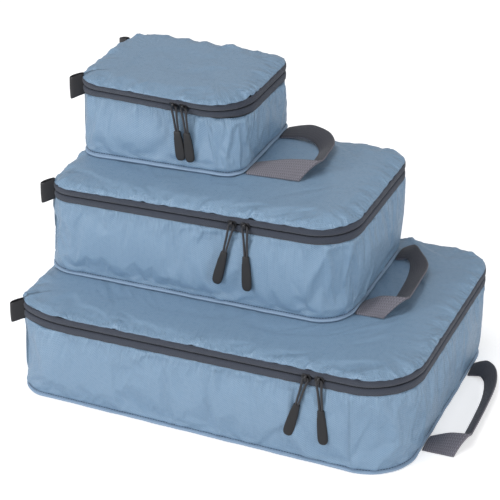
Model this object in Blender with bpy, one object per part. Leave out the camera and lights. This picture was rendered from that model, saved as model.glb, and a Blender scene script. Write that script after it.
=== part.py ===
"""Three nesting zip-up packing cubes, stacked large, medium, small. Metres, +Z up.

The origin is under the middle of the large cube's base. Each cube is one design in its
own size: a base panel with a piped bottom seam, a side wall, a two-row zipper on three
sides, a domed lid hinged along the left side, two zipper pulls and a webbing handle.
"""

import math

import bmesh
import bpy
from mathutils import Vector

for old in list(bpy.data.objects):
    bpy.data.objects.remove(old, do_unlink=True)

MM = 0.001

# Driving dimensions shared by the three cubes.
CLOTH = 1.5 * MM
TAPE = 1.2 * MM
GAP = 0.3 * MM
ZIP_BAND = 19.5 * MM
ZIP_SLOT = 1.2 * MM
COIL_HEIGHT = 2.4 * MM
COIL_DEPTH = 1.6 * MM
LIP = 3.0 * MM
PIPING_HEIGHT = 3.4 * MM
TAB_REACH = 14.0 * MM
TAB_HEIGHT = ZIP_BAND + 2.5 * MM
SLIDER_LENGTH = 10.0 * MM
SLIDER_HEIGHT = 9.0 * MM
PLATE = 1.2 * MM
BRIDGE_WIDTH = 3.0 * MM
CORD_RADIUS = 0.85 * MM
CORD_SPREAD = 3.3 * MM
GRIP_WIDTH = 9.4 * MM
GRIP_DEPTH = 3.0 * MM
PULL_GAP = 1.7 * MM
WEB_WIDTH = 26.0 * MM
WEB_DEPTH = 1.6 * MM
CORNER_STEPS = 6

# One entry per cube. place is the front left corner of its widest outline and its
# underside; slider_x is measured from that corner; tilt is how far a pull leans right.
# The insets are how much further in the base seam is than the zipper. top_slope and
# base_slope are how the lid edge and the underside rise to the right, as a loaded soft
# stack does, each about its own level_x.
CUBES = {
    "large": {
        "place": (-0.2235, -0.1450, 0.0),
        "size": (0.4365, 0.288, 0.106),
        "left_radius": 0.032,
        "right_radius": 0.058,
        "base_left_radius": 0.030,
        "base_right_radius": 0.050,
        "insets": (0.005, 0.004, 0.0),
        "top_slope": 0.023,
        "top_level_x": 0.045,
        "base_slope": 0.0,
        "base_level_x": 0.0,
        "dome": 0.006,
        "slider_x": (0.3323, 0.3461),
        "tilt": (-14.5, 5.8),
        "cord": 0.034,
        "grip": 0.037,
        "handle_y": 0.0610,
        "handle_span": 0.159,
        "handle_reach": 0.032,
    },
    "medium": {
        "place": (-0.2160, -0.0700, 0.0),
        "size": (0.3365, 0.196, 0.105),
        "left_radius": 0.026,
        "right_radius": 0.045,
        "base_left_radius": 0.026,
        "base_right_radius": 0.036,
        "insets": (-0.0045, 0.004, 0.003),
        "top_slope": 0.0436,
        "top_level_x": 0.0,
        "base_slope": 0.0,
        "base_level_x": 0.0,
        "dome": 0.009,
        "slider_x": (0.2126, 0.2272),
        "tilt": (-13.0, 3.0),
        "cord": 0.034,
        "grip": 0.037,
        "handle_y": 0.0320,
        "handle_span": 0.122,
        "handle_reach": 0.0275,
    },
    "small": {
        "place": (-0.2105, -0.0050, 0.0),
        "size": (0.187, 0.142, 0.077),
        "left_radius": 0.024,
        "right_radius": 0.045,
        "base_left_radius": 0.020,
        "base_right_radius": 0.020,
        "insets": (0.0035, 0.0005, 0.0),
        "top_slope": 0.0,
        "top_level_x": 0.0,
        "base_slope": 0.0,
        "base_level_x": 0.0,
        "dome": 0.006,
        "slider_x": (0.1145, 0.1145 + GRIP_WIDTH + PULL_GAP),
        "tilt": (8.6, 8.2),
        "cord": 0.028,
        "grip": 0.031,
        "handle_y": 0.0115,
        "handle_span": 0.092,
        "handle_reach": 0.0570,
    },
}

# Each cube stands a clearance above the dome of the lid below, and takes on that lid's slope.
for below_name, above_name in (("large", "medium"), ("medium", "small")):
    below, above = CUBES[below_name], CUBES[above_name]
    seat_z = below["place"][2] + below["size"][2] + below["dome"] + GAP
    above["place"] = (above["place"][0], above["place"][1], seat_z)
    above["base_slope"] = below["top_slope"]
    above["base_level_x"] = below["top_level_x"]

COLOURS = {
    "nylon": (0.17, 0.28, 0.41),
    "nylon_base": (0.13, 0.22, 0.34),
    "piping": (0.22, 0.34, 0.48),
    "zip_tape": (0.05, 0.057, 0.075),
    "zip_coil": (0.03, 0.033, 0.042),
    "tab_cloth": (0.013, 0.013, 0.017),
    "slider_metal": (0.02, 0.02, 0.023),
    "cord": (0.012, 0.012, 0.014),
    "grip_rubber": (0.028, 0.028, 0.032),
    "webbing": (0.07, 0.07, 0.082),
    "label": (0.02, 0.022, 0.03),
}


def coloured(name, slot):
    """A material of this node's own."""
    material = bpy.data.materials.new(name + "_" + slot)
    material.use_nodes = True
    shader = material.node_tree.nodes["Principled BSDF"]
    shader.inputs["Base Color"].default_value = (*COLOURS[slot], 1.0)
    shader.inputs["Roughness"].default_value = 0.6
    return material


def settled(cube, point):
    """A point as the loaded stack leaves it: the lid edge and the underside slope with x."""
    x, y, z = point
    low = cube["place"][2]
    height = cube["size"][2]
    below_zip = height - ZIP_BAND
    base_rise = cube["base_slope"] * (x - cube["base_level_x"])
    top_rise = cube["top_slope"] * (x - cube["top_level_x"])
    share = min(max((z - low) / below_zip, 0.0), 1.0)
    return Vector((x, y, z + base_rise * (1.0 - share) + top_rise * share))


def made(name, slot, cube, points, faces, origin=None):
    """One object from points and faces, its origin put on its joint where it has one."""
    shift = settled(cube, origin) if origin else Vector()
    mesh = bpy.data.meshes.new(name)
    mesh.from_pydata([settled(cube, point) - shift for point in points], [], faces)
    shape = bmesh.new()
    shape.from_mesh(mesh)
    bmesh.ops.remove_doubles(shape, verts=shape.verts, dist=1e-6)
    bmesh.ops.recalc_face_normals(shape, faces=shape.faces)
    shape.to_mesh(mesh)
    shape.free()
    node = bpy.data.objects.new(name, mesh)
    node.location = shift
    bpy.context.scene.collection.objects.link(node)
    mesh.materials.append(coloured(name, slot))
    return node


def grid_faces(rows, columns, wrap_rows):
    """Quads between rows of points that each close on themselves."""
    faces = []
    last = rows if wrap_rows else rows - 1
    for row in range(last):
        for column in range(columns):
            after = (column + 1) % columns
            below = (row + 1) % rows
            faces.append(
                (
                    row * columns + column,
                    row * columns + after,
                    below * columns + after,
                    below * columns + column,
                )
            )
    return faces


def outline(cube, left_inset, right_inset, front_inset, left_radius, right_radius):
    """The plan of a cube, round the four corners from the left of the front, as (x, y)."""
    x0, y0, _ = cube["place"]
    width, depth, _ = cube["size"]
    low_x = x0 + left_inset
    high_x = x0 + width - right_inset
    low_y = y0 + front_inset
    high_y = y0 + depth - front_inset
    corners = (
        (low_x, low_y, left_radius, 180.0, 1, 1),
        (high_x, low_y, right_radius, 270.0, -1, 1),
        (high_x, high_y, right_radius, 0.0, -1, -1),
        (low_x, high_y, left_radius, 90.0, 1, -1),
    )
    points = []
    for corner_x, corner_y, radius, start, way_x, way_y in corners:
        centre_x = corner_x + way_x * radius
        centre_y = corner_y + way_y * radius
        for step in range(CORNER_STEPS + 1):
            angle = math.radians(start + 90.0 * step / CORNER_STEPS)
            points.append((centre_x + radius * math.cos(angle), centre_y + radius * math.sin(angle)))
    return points


def outline_at(cube, height, outward):
    """The side wall's plan at a height over the cube's underside, grown by outward."""
    rise = min(max(height / cube["size"][2], 0.0), 1.0)
    left_inset, right_inset, front_inset = (inset * (1.0 - rise) for inset in cube["insets"])
    left_radius = cube["base_left_radius"] * (1.0 - rise) + cube["left_radius"] * rise
    right_radius = cube["base_right_radius"] * (1.0 - rise) + cube["right_radius"] * rise
    return outline(
        cube,
        left_inset - outward,
        right_inset - outward,
        front_inset - outward,
        max(left_radius + outward, 2.0 * MM),
        max(right_radius + outward, 2.0 * MM),
    )


def ring(name, slot, cube, levels):
    """A closed band round the cube. levels goes once round its section as (z, plan height, outward)."""
    points = []
    for level, plan_height, outward in levels:
        for x, y in outline_at(cube, plan_height, outward):
            points.append((x, y, cube["place"][2] + level))
    columns = len(points) // len(levels)
    return made(name, slot, cube, points, grid_faces(len(levels), columns, True))


def panel(name, slot, cube, levels, origin=None):
    """A closed flat or domed panel. levels goes from the middle below, out, and back on top."""
    points = []
    for level, plan_height, outward in levels:
        for x, y in outline_at(cube, plan_height, outward):
            points.append((x, y, cube["place"][2] + level))
    columns = len(points) // len(levels)
    faces = grid_faces(len(levels), columns, False)
    faces.append(tuple(range(columns)))
    last = (len(levels) - 1) * columns
    faces.append(tuple(range(last, last + columns)))
    return made(name, slot, cube, points, faces, origin)


def strip(name, slot, cube, sections, origin=None):
    """A closed body through a list of sections, each a list of points in the same order."""
    count = len(sections[0])
    points = [point for section in sections for point in section]
    faces = grid_faces(len(sections), count, False)
    faces.append(tuple(range(count)))
    last = (len(sections) - 1) * count
    faces.append(tuple(range(last, last + count)))
    return made(name, slot, cube, points, faces, origin)


def side_band(name, slot, cube, low, high, outer, inner, on_left, origin=None):
    """An upright strip that follows the top outline: along the hinge side, or round the other three."""
    half = CORNER_STEPS // 2
    outer_plan = outline_at(cube, cube["size"][2], outer)
    inner_plan = outline_at(cube, cube["size"][2], inner)
    total = len(outer_plan)
    start = half
    stop = total - 1 - half
    if on_left:
        order = list(range(stop, total)) + list(range(0, start + 1))
    else:
        order = list(range(start, stop + 1))
    base = cube["place"][2]
    sections = []
    for position, index in enumerate(order):
        outer_x, outer_y = outer_plan[index]
        inner_x, inner_y = inner_plan[index]
        if position in (0, len(order) - 1):
            # The ends draw back a little, so the hinge strip and the zipper only nearly meet.
            other = order[1] if position == 0 else order[-2]
            toward_x = outer_plan[other][0] - outer_x
            toward_y = outer_plan[other][1] - outer_y
            length = math.hypot(toward_x, toward_y)
            move_x = 0.4 * MM * toward_x / length
            move_y = 0.4 * MM * toward_y / length
            outer_x += move_x
            outer_y += move_y
            inner_x += move_x
            inner_y += move_y
        sections.append(
            [
                (outer_x, outer_y, base + low),
                (outer_x, outer_y, base + high),
                (inner_x, inner_y, base + high),
                (inner_x, inner_y, base + low),
            ]
        )
    return strip(name, slot, cube, sections, origin)


def box_points(low, high):
    x0, y0, z0 = low
    x1, y1, z1 = high
    return [
        (x0, y0, z0),
        (x1, y0, z0),
        (x1, y1, z0),
        (x0, y1, z0),
        (x0, y0, z1),
        (x1, y0, z1),
        (x1, y1, z1),
        (x0, y1, z1),
    ]


BOX_FACES = [(0, 1, 2, 3), (4, 5, 6, 7), (0, 1, 5, 4), (1, 2, 6, 5), (2, 3, 7, 6), (3, 0, 4, 7)]


def folded_tab(name, cube, back):
    """A strip folded in two over the zipper's end, standing out from the corner at 45 degrees."""
    half = CORNER_STEPS // 2
    plan = outline_at(cube, cube["size"][2], 0.0)
    index = len(plan) - 1 - half if back else half
    foot_x, foot_y = plan[index]
    way_y = 1.0 if back else -1.0
    out = Vector((-1.0, way_y, 0.0)).normalized()
    across = Vector((-way_y, -1.0, 0.0)).normalized()
    middle = cube["place"][2] + cube["size"][2] - ZIP_BAND / 2.0
    foot = Vector((foot_x, foot_y, middle)) + out * GAP
    # The plan of the fold: two leaves that join at the far end, and spread a little at the foot.
    leaf = 1.0 * MM
    plan_points = (
        (0.0, 1.9 * MM),
        (TAB_REACH * 0.6, 1.6 * MM),
        (TAB_REACH * 0.95, 1.3 * MM),
        (TAB_REACH, 0.0),
        (TAB_REACH * 0.95, -1.3 * MM),
        (TAB_REACH * 0.6, -1.6 * MM),
        (0.0, -1.9 * MM),
        (0.0, -1.9 * MM + leaf),
        (TAB_REACH * 0.6, -1.6 * MM + leaf),
        (TAB_REACH - 1.4 * MM, 0.0),
        (TAB_REACH * 0.6, 1.6 * MM - leaf),
        (0.0, 1.9 * MM - leaf),
    )
    sections = []
    for level in (-0.5, 0.5):
        section = []
        for reach, side in plan_points:
            corner = foot + out * reach + across * side
            corner.z += level * TAB_HEIGHT
            section.append(tuple(corner))
        sections.append(section)
    return strip(name, "tab_cloth", cube, sections)


def joined(node, helpers):
    """Boolean union of helper boxes into a node. The helpers are removed afterwards."""
    for helper in helpers:
        union = node.modifiers.new("union", "BOOLEAN")
        union.operation = "UNION"
        union.solver = "EXACT"
        union.object = helper
        helper.hide_render = True
        helper.display_type = "WIRE"
    bpy.context.view_layer.update()
    graph = bpy.context.evaluated_depsgraph_get()
    mesh = bpy.data.meshes.new_from_object(node.evaluated_get(graph), depsgraph=graph)
    node.modifiers.clear()
    node.data = mesh
    for helper in helpers:
        bpy.data.objects.remove(helper, do_unlink=True)
    return node


def slider(name, cube, x):
    """A zipper slider: front plate and bridge outside, neck in the slot, back plate behind the lower coil."""
    y_face = cube["place"][1] - GAP
    z_slot = cube["place"][2] + cube["size"][2] - ZIP_BAND / 2.0
    half = SLIDER_LENGTH / 2.0
    y_plate = y_face - PLATE
    outline_points = (
        (-half, 0.5),
        (-half * 0.62, 1.0),
        (half * 0.62, 1.0),
        (half, 0.5),
        (half, -0.5),
        (half * 0.62, -1.0),
        (-half * 0.62, -1.0),
        (-half, -0.5),
    )
    sections = []
    for y in (y_face, y_plate):
        section = []
        for across, up in outline_points:
            section.append((x + across, y, z_slot + up * SLIDER_HEIGHT / 2.0))
        sections.append(section)
    origin = (x, y_plate, z_slot)
    node = strip(name, "slider_metal", cube, sections, origin)
    inside = 0.35 * MM
    bridge_out = y_plate - 2.0 * CORD_RADIUS - 2.0 * inside
    wide = BRIDGE_WIDTH / 2.0
    rise = SLIDER_HEIGHT / 2.0
    coil_back = cube["place"][1] + TAPE + GAP + COIL_DEPTH
    neck = 0.3 * MM
    boxes = (
        ((x - wide, bridge_out - PLATE, z_slot - rise * 0.9), (x + wide, bridge_out, z_slot + rise * 0.9)),
        ((x - wide, bridge_out - 0.1 * MM, z_slot + rise * 0.5), (x + wide, y_plate + 0.2 * MM, z_slot + rise * 0.9)),
        ((x - wide, bridge_out - 0.1 * MM, z_slot - rise * 0.9), (x + wide, y_plate + 0.2 * MM, z_slot - rise * 0.5)),
        ((x - 2.0 * MM, y_face - 0.2 * MM, z_slot - neck), (x + 2.0 * MM, coil_back + GAP + 0.2 * MM, z_slot + neck)),
        (
            (x - half * 0.9, coil_back + GAP, z_slot - rise),
            (x + half * 0.9, coil_back + GAP + PLATE, z_slot + neck + 0.1 * MM),
        ),
    )
    helpers = []
    for number, (low, high) in enumerate(boxes):
        helpers.append(made(name + "_cutter" + str(number), "slider_metal", cube, box_points(low, high), BOX_FACES))
    return joined(node, helpers)


def pull_axis(cube, x):
    """Where a pull's cord turns: under the slider's bridge."""
    z_slot = cube["place"][2] + cube["size"][2] - ZIP_BAND / 2.0
    y = cube["place"][1] - GAP - PLATE - CORD_RADIUS - 0.35 * MM
    return Vector((x, y, z_slot))


def pull_cord(name, cube, x, tilt):
    """One thin cord: up from the grip, under the bridge, and back down to the grip."""
    pivot = pull_axis(cube, x)
    lean = math.radians(tilt)
    down = Vector((math.sin(lean), 0.0, -math.cos(lean)))
    across = Vector((math.cos(lean), 0.0, math.sin(lean)))
    end = pivot + down * (cube["cord"] - GAP)
    spread = CORD_SPREAD
    course = [
        end + across * (-1.5 * MM),
        pivot + down * (cube["cord"] * 0.45) + across * (-spread * 0.75),
        pivot + down * (4.2 * MM) + across * (-spread),
        pivot + down * (1.6 * MM) + Vector((-spread, 0.0, 0.0)),
        pivot + Vector((-spread * 0.72, 0.0, 0.0)),
        pivot + Vector((spread * 0.72, 0.0, 0.0)),
        pivot + down * (1.6 * MM) + Vector((spread, 0.0, 0.0)),
        pivot + down * (4.2 * MM) + across * spread,
        pivot + down * (cube["cord"] * 0.45) + across * (spread * 0.75),
        end + across * (1.5 * MM),
    ]
    sections = []
    for index, centre in enumerate(course):
        before = course[max(index - 1, 0)]
        after = course[min(index + 1, len(course) - 1)]
        along = (after - before).normalized()
        side = along.cross(Vector((0.0, 1.0, 0.0))).normalized()
        front = Vector((0.0, 1.0, 0.0))
        section = []
        for step in range(6):
            angle = math.radians(60.0 * step)
            section.append(tuple(centre + (side * math.cos(angle) + front * math.sin(angle)) * CORD_RADIUS))
        sections.append(section)
    return strip(name, "cord", cube, sections, tuple(pivot))


def pull_grip(name, cube, x, tilt):
    """The moulded grip: a flat bar, narrower at the cord and round at the free end."""
    pivot = pull_axis(cube, x)
    lean = math.radians(tilt)
    down = Vector((math.sin(lean), 0.0, -math.cos(lean)))
    across = Vector((math.cos(lean), 0.0, math.sin(lean)))
    length = cube["grip"]
    half = GRIP_WIDTH / 2.0
    stations = (
        (0.0, 0.52, 0.62),
        (0.05, 0.66, 0.92),
        (0.16, 0.84, 1.0),
        (0.40, 0.97, 0.92),
        (0.66, 1.0, 0.92),
        (0.86, 1.0, 1.0),
        (0.94, 0.86, 1.0),
        (0.985, 0.58, 0.85),
        (1.0, 0.26, 0.6),
    )
    sections = []
    for part, wide, deep in stations:
        centre = pivot + down * (cube["cord"] + length * part)
        reach = half * wide
        thick = GRIP_DEPTH / 2.0 * deep
        section = []
        for side, front in ((-1, -0.45), (-0.8, -1), (0.8, -1), (1, -0.45), (1, 0.45), (0.8, 1), (-0.8, 1), (-1, 0.45)):
            section.append(tuple(centre + across * (reach * side) + Vector((0.0, thick * front, 0.0))))
        sections.append(section)
    return strip(name, "grip_rubber", cube, sections, tuple(pivot))


def handle_axis(cube):
    """The line that the handle turns about, by the bottom seam of the right side."""
    x = cube["place"][0] + cube["size"][0] - cube["insets"][1] + LIP + GAP
    y = cube["place"][1] + cube["size"][1] / 2.0
    return Vector((x, y, cube["place"][2] + GAP + WEB_DEPTH))


def handle_edges(cube):
    """The handle's two long edges, as pairs (x, y, z) from its front foot: out, folded over, back and in."""
    reach = cube["handle_reach"]
    span = cube["handle_span"]
    wide = WEB_WIDTH
    return (
        ((0.0, 0.0, 0.0), (0.0, wide, 0.0)),
        ((reach * 0.3, 0.0, 0.0), (reach * 0.3, wide * 0.97, 0.005)),
        ((reach * 0.65, 0.0, 0.0), (reach * 0.72, wide * 0.90, 0.0115)),
        ((reach, 0.0, 0.0), (reach + 0.021, wide * 0.85, 0.0155)),
        ((reach - 0.0005, wide * 0.45, 0.0), (reach + 0.0215, wide * 0.85 + 0.007, 0.0125)),
        ((reach - 0.001, wide * 1.3, 0.0), (reach + 0.0215, wide * 1.3, 0.011)),
        ((reach - 0.002, span * 0.52, 0.0), (reach + 0.020, span * 0.56, 0.010)),
        ((reach - 0.004, span * 0.74, 0.001), (reach + 0.017, span * 0.86, 0.010)),
        ((reach * 0.78 - 0.002, span * 0.90, 0.003), (reach * 0.98 - 0.002, span + 0.006, 0.011)),
        ((reach * 0.55 - 0.002, span * 0.975, 0.004), (reach * 0.56, span + 0.019, 0.010)),
        ((reach * 0.27, span * 0.998, 0.002), (reach * 0.27, span + wide * 0.96, 0.005)),
        ((0.0, span, 0.0), (0.0, span + wide, 0.0)),
    )


def handle(name, cube):
    """A webbing loop sewn in the seam at both feet, folded over at its front corner."""
    pivot = handle_axis(cube)
    foot = Vector((pivot.x, cube["place"][1] + cube["handle_y"], cube["place"][2] + GAP + WEB_DEPTH * 0.5))
    pairs = [(foot + Vector(first), foot + Vector(second)) for first, second in handle_edges(cube)]
    middles = [(first + second) / 2.0 for first, second in pairs]
    spans = []
    for index in range(len(pairs) - 1):
        wide = (pairs[index][1] - pairs[index][0]) + (pairs[index + 1][1] - pairs[index + 1][0])
        spans.append((middles[index + 1] - middles[index]).cross(wide).normalized())
    sections = []
    for index, (first, second) in enumerate(pairs):
        normal = (spans[max(index - 1, 0)] + spans[min(index, len(spans) - 1)]).normalized()
        off = normal * WEB_DEPTH / 2.0
        section = []
        for corner in (first - off, second - off, second + off, first + off):
            corner.z = max(corner.z, cube["place"][2] + GAP)
            section.append(tuple(corner))
        sections.append(section)
    return strip(name, "webbing", cube, sections, tuple(pivot))


def side_label(name, cube):
    """A small blank label hanging from the hinge seam on the left side."""
    x = cube["place"][0] - GAP
    y = cube["place"][1] + cube["size"][1] * 0.52
    top = cube["place"][2] + cube["size"][2] - CLOTH - 1.0 * MM
    low = (x - 1.0 * MM, y - 20.0 * MM, top - ZIP_BAND + 2.5 * MM)
    high = (x, y + 20.0 * MM, top)
    return made(name, "label", cube, box_points(low, high), BOX_FACES)


def lid_axis(cube):
    x = cube["place"][0]
    y = cube["place"][1] + cube["size"][1] / 2.0
    return (x, y, cube["place"][2] + cube["size"][2] - CLOTH)


def build_cube(size_name, cube):
    height = cube["size"][2]
    wall_top = height - ZIP_BAND - GAP
    slot_low = height - ZIP_BAND / 2.0 - ZIP_SLOT / 2.0
    slot_high = slot_low + ZIP_SLOT
    lid_low = height - CLOTH
    seat = CLOTH + GAP
    name = size_name + "_"

    panel(
        name + "base_panel",
        "nylon_base",
        cube,
        (
            (0.0, 0.0, -30.0 * MM),
            (0.0, 0.0, LIP),
            (CLOTH, 0.0, LIP),
            (CLOTH, 0.0, -30.0 * MM),
        ),
    )
    ring(
        name + "bottom_piping",
        "piping",
        cube,
        (
            (seat, 0.0, GAP),
            (seat, 0.0, LIP),
            (seat + PIPING_HEIGHT * 0.7, 0.0, LIP),
            (seat + PIPING_HEIGHT, 0.0, LIP * 0.6),
            (seat + PIPING_HEIGHT, seat + PIPING_HEIGHT, GAP + 0.4 * MM),
        ),
    )
    ring(
        name + "side_wall",
        "nylon",
        cube,
        (
            (seat, 0.0, 0.0),
            (height * 0.45, height * 0.45, 0.0),
            (wall_top, height, 0.0),
            (wall_top, height, -CLOTH),
            (height * 0.45, height * 0.45, -CLOTH),
            (seat, 0.0, -CLOTH),
        ),
    )
    side_band(name + "hinge_strip", "nylon", cube, wall_top + GAP, lid_low - GAP, 0.0, -TAPE, True)
    side_band(name + "lower_tape", "zip_tape", cube, wall_top + GAP, slot_low, 0.0, -TAPE, False)
    side_band(
        name + "lower_coil",
        "zip_coil",
        cube,
        slot_low - COIL_HEIGHT,
        slot_low,
        -TAPE - GAP,
        -TAPE - GAP - COIL_DEPTH,
        False,
    )
    axis = lid_axis(cube)
    side_band(name + "upper_tape", "zip_tape", cube, slot_high, lid_low - GAP, 0.0, -TAPE, False, axis)
    side_band(
        name + "upper_coil",
        "zip_coil",
        cube,
        slot_high,
        slot_high + COIL_HEIGHT,
        -TAPE - GAP,
        -TAPE - GAP - COIL_DEPTH,
        False,
        axis,
    )
    panel(
        name + "lid_panel",
        "nylon",
        cube,
        (
            (lid_low + cube["dome"], height, -22.0 * MM),
            (lid_low + cube["dome"] * 0.62, height, -10.0 * MM),
            (lid_low, height, 0.0),
            (height, height, 0.0),
            (height + cube["dome"] * 0.62, height, -10.0 * MM),
            (height + cube["dome"], height, -22.0 * MM),
        ),
        axis,
    )
    folded_tab(name + "front_tab", cube, False)
    folded_tab(name + "back_tab", cube, True)
    x0 = cube["place"][0]
    for side, offset, tilt in (
        ("left", cube["slider_x"][0], cube["tilt"][0]),
        ("right", cube["slider_x"][1], cube["tilt"][1]),
    ):
        slider(name + "slider_" + side, cube, x0 + offset)
        pull_cord(name + "pull_cord_" + side, cube, x0 + offset, tilt)
        pull_grip(name + "pull_grip_" + side, cube, x0 + offset, tilt)
    handle(name + "handle", cube)
    side_label(name + "side_label", cube)


for cube_name, cube_record in CUBES.items():
    build_cube(cube_name, cube_record)
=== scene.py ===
import math

import bmesh
import bpy
import numpy as np
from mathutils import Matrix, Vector


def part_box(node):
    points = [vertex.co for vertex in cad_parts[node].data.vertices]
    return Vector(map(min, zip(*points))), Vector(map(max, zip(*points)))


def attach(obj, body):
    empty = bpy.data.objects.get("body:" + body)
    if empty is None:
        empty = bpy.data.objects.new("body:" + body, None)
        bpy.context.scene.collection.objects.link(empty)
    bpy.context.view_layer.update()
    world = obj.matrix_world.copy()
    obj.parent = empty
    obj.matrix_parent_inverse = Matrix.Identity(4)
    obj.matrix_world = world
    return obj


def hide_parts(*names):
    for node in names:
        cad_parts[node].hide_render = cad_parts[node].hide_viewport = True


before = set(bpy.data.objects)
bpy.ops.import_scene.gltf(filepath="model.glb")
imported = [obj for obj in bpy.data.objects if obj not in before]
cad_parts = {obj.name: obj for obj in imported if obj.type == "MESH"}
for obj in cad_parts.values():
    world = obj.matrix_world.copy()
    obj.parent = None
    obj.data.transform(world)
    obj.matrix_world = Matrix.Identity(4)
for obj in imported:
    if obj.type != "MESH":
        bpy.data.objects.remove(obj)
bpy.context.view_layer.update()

mm = 0.001
studio = {
    "azimuth": 23.195, "elevation": 29.288, "eye": (0.6857, -1.6318, 1.1354), "lens": 139.1,
    "floorReach": 6.0, "floorLevel": -0.5 * mm, "floorGlow": 0.42, "ambient": 0.5, "aim": 0.12,
    "lamps": (
        ("keySoftbox", (-1.6, -2.0, 0.85), 0.7, 28.0),
        ("lowStrip", (-0.9, -2.6, 0.3), 0.4, 8.0),
        ("fillSoftbox", (2.3, -0.9, 0.8), 0.9, 24.0),
        ("topSoftbox", (-0.3, -0.6, 2.4), 1.4, 20.0),
    ),
}

# Sizes that the three cubes share, in metres.
cubeMake = {
    "clothThick": 0.7 * mm,
    "zipBand": 19.5 * mm,
    "hem": 1.5 * mm,
    "lip": 3.0 * mm,
    "grid": 1.7 * mm,
    "rows": 2.6 * mm,
    "lidGrid": 1.9 * mm,
    "leanDepth": 45 * mm,
    "zipTurn": 204,
}

# The same places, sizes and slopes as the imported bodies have. lean is how far the front is
# set back at the lid seam, below the zipper on the left and right, and at the base.
cubeSizes = {
    "large": {
        "place": (-0.2235, -0.1450, 0.0), "size": (0.4365, 0.2880, 0.1060),
        "insets": (5 * mm, 4 * mm, 0.0),
        "leftRadius": 32 * mm, "rightRadius": 58 * mm, "backRadius": 40 * mm, "hindRadius": 32 * mm,
        "baseLeft": 30 * mm, "baseRight": 50 * mm,
        "topSlope": 0.023, "topLevel": 0.045, "baseSlope": 0.0, "baseLevel": 0.0, "dome": 6 * mm,
        "lean": (0.0, 1.7 * mm, 1.7 * mm, -1.0 * mm), "cornerLong": 68 * mm,
        "sliderX": (0.3323, 0.3461), "tilt": (-14.5, 5.8), "cord": 34 * mm, "grip": 37 * mm,
        "handleY": 61 * mm, "handleSpan": 151 * mm, "handleReach": 32 * mm,
        "strapOut": 9 * mm, "seed": 11,
    },
    "medium": {
        "place": (-0.2160, -0.0700, 0.1123), "size": (0.3365, 0.1960, 0.1050),
        "insets": (-4.5 * mm, 4 * mm, 3 * mm),
        "leftRadius": 26 * mm, "rightRadius": 45 * mm, "backRadius": 30 * mm, "hindRadius": 30 * mm,
        "baseLeft": 26 * mm, "baseRight": 36 * mm,
        "topSlope": 0.0436, "topLevel": 0.0, "baseSlope": 0.023, "baseLevel": 0.045, "dome": 9 * mm,
        "lean": (-0.5 * mm, 7.0 * mm, 2.0 * mm, 0.0), "cornerLong": 30 * mm,
        "sliderX": (0.2126, 0.2272), "tilt": (-13.0, 3.0), "cord": 34 * mm, "grip": 37 * mm,
        "handleY": 32 * mm, "handleSpan": 122 * mm, "handleReach": 29 * mm,
        "strapOut": 17 * mm, "seed": 23,
    },
    "small": {
        "place": (-0.2105, -0.0050, 0.2266), "size": (0.1870, 0.1420, 0.0770),
        "insets": (3.5 * mm, 0.5 * mm, 0.0),
        "leftRadius": 24 * mm, "rightRadius": 45 * mm, "backRadius": 22 * mm, "hindRadius": 46 * mm,
        "baseLeft": 20 * mm, "baseRight": 20 * mm,
        "topSlope": 0.0, "topLevel": 0.0, "baseSlope": 0.0436, "baseLevel": 0.0, "dome": 6 * mm,
        "lean": (-5.0 * mm, 8.0 * mm, 5.5 * mm, -1.0 * mm), "cornerLong": 26 * mm,
        "sliderX": (0.1145, 0.1256), "tilt": (8.6, 8.2), "cord": 28 * mm, "grip": 31 * mm,
        "handleY": 11.5 * mm, "handleSpan": 92 * mm, "handleReach": 58 * mm,
        "strapOut": 13 * mm, "seed": 37,
    },
}
for name, cube in cubeSizes.items():
    cube["name"] = name
    cube["low"] = np.array(cube["place"])
    cube["width"], cube["depth"], cube["height"] = cube["size"]
    cube["slot"] = cube["low"][2] + cube["height"] - cubeMake["zipBand"] / 2


def settled(cube, points):
    # Where the points of a loaded cube are: its lid and underside tip, and its front leans.
    x, y, z = points[..., 0], points[..., 1], points[..., 2]
    rise = z - cube["low"][2]
    band = cube["height"] - cubeMake["zipBand"]
    share = np.clip(rise / band, 0, 1)
    lift = cube["baseSlope"] * (x - cube["baseLevel"]) * (1 - share)
    lift = lift + cube["topSlope"] * (x - cube["topLevel"]) * share
    topBack, leftBack, rightBack, baseBack = cube["lean"]
    lowBack = leftBack + (rightBack - leftBack) * np.clip((x - cube["low"][0]) / cube["width"], 0, 1)
    inBand = np.clip((rise - band) / cubeMake["zipBand"], 0, 1)
    back = np.where(rise < band, baseBack + (lowBack - baseBack) * share ** 2,
                    lowBack + (topBack - lowBack) * inBand)
    back = back * np.clip((x - cube["low"][0] + 2 * mm) / (28 * mm), 0, 1)
    near = np.clip(1 - (y - cube["low"][1]) / cubeMake["leanDepth"], 0, 1)
    return np.stack([x, y + back * near ** 2 * (3 - 2 * near), z + lift], axis=-1)


def keep(cube, piece, body, nodes=(), pivot=None):
    # Settles a piece with its cube, all as one where it turns about a pivot, and gives it to a body.
    points = np.zeros(len(piece.data.vertices) * 3)
    piece.data.vertices.foreach_get("co", points)
    points = points.reshape(-1, 3)
    moved = settled(cube, points) if pivot is None else points + settled(cube, pivot) - pivot
    piece.data.vertices.foreach_set("co", moved.reshape(-1))
    piece.data.update()
    if nodes:
        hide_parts(*[cube["name"] + "_" + node for node in nodes])
    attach(piece, cube["name"] + "_" + body)
    return piece


class Sock:
    # One shader socket with the arithmetic operators, each of which adds a Math node.
    def __init__(self, mat, socket):
        self.mat = mat
        self.socket = socket

    def calc(self, operation, other=None, swap=False):
        first, second = (other, self) if swap else (self, other)
        values = [first] if second is None else [first, second]
        return self.mat.add("ShaderNodeMath", {"operation": operation}, dict(enumerate(values)))


def operator(operation, swap=False, alone=False):
    if alone:
        return lambda self: self.calc(operation)
    return lambda self, other: self.calc(operation, other, swap)


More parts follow.
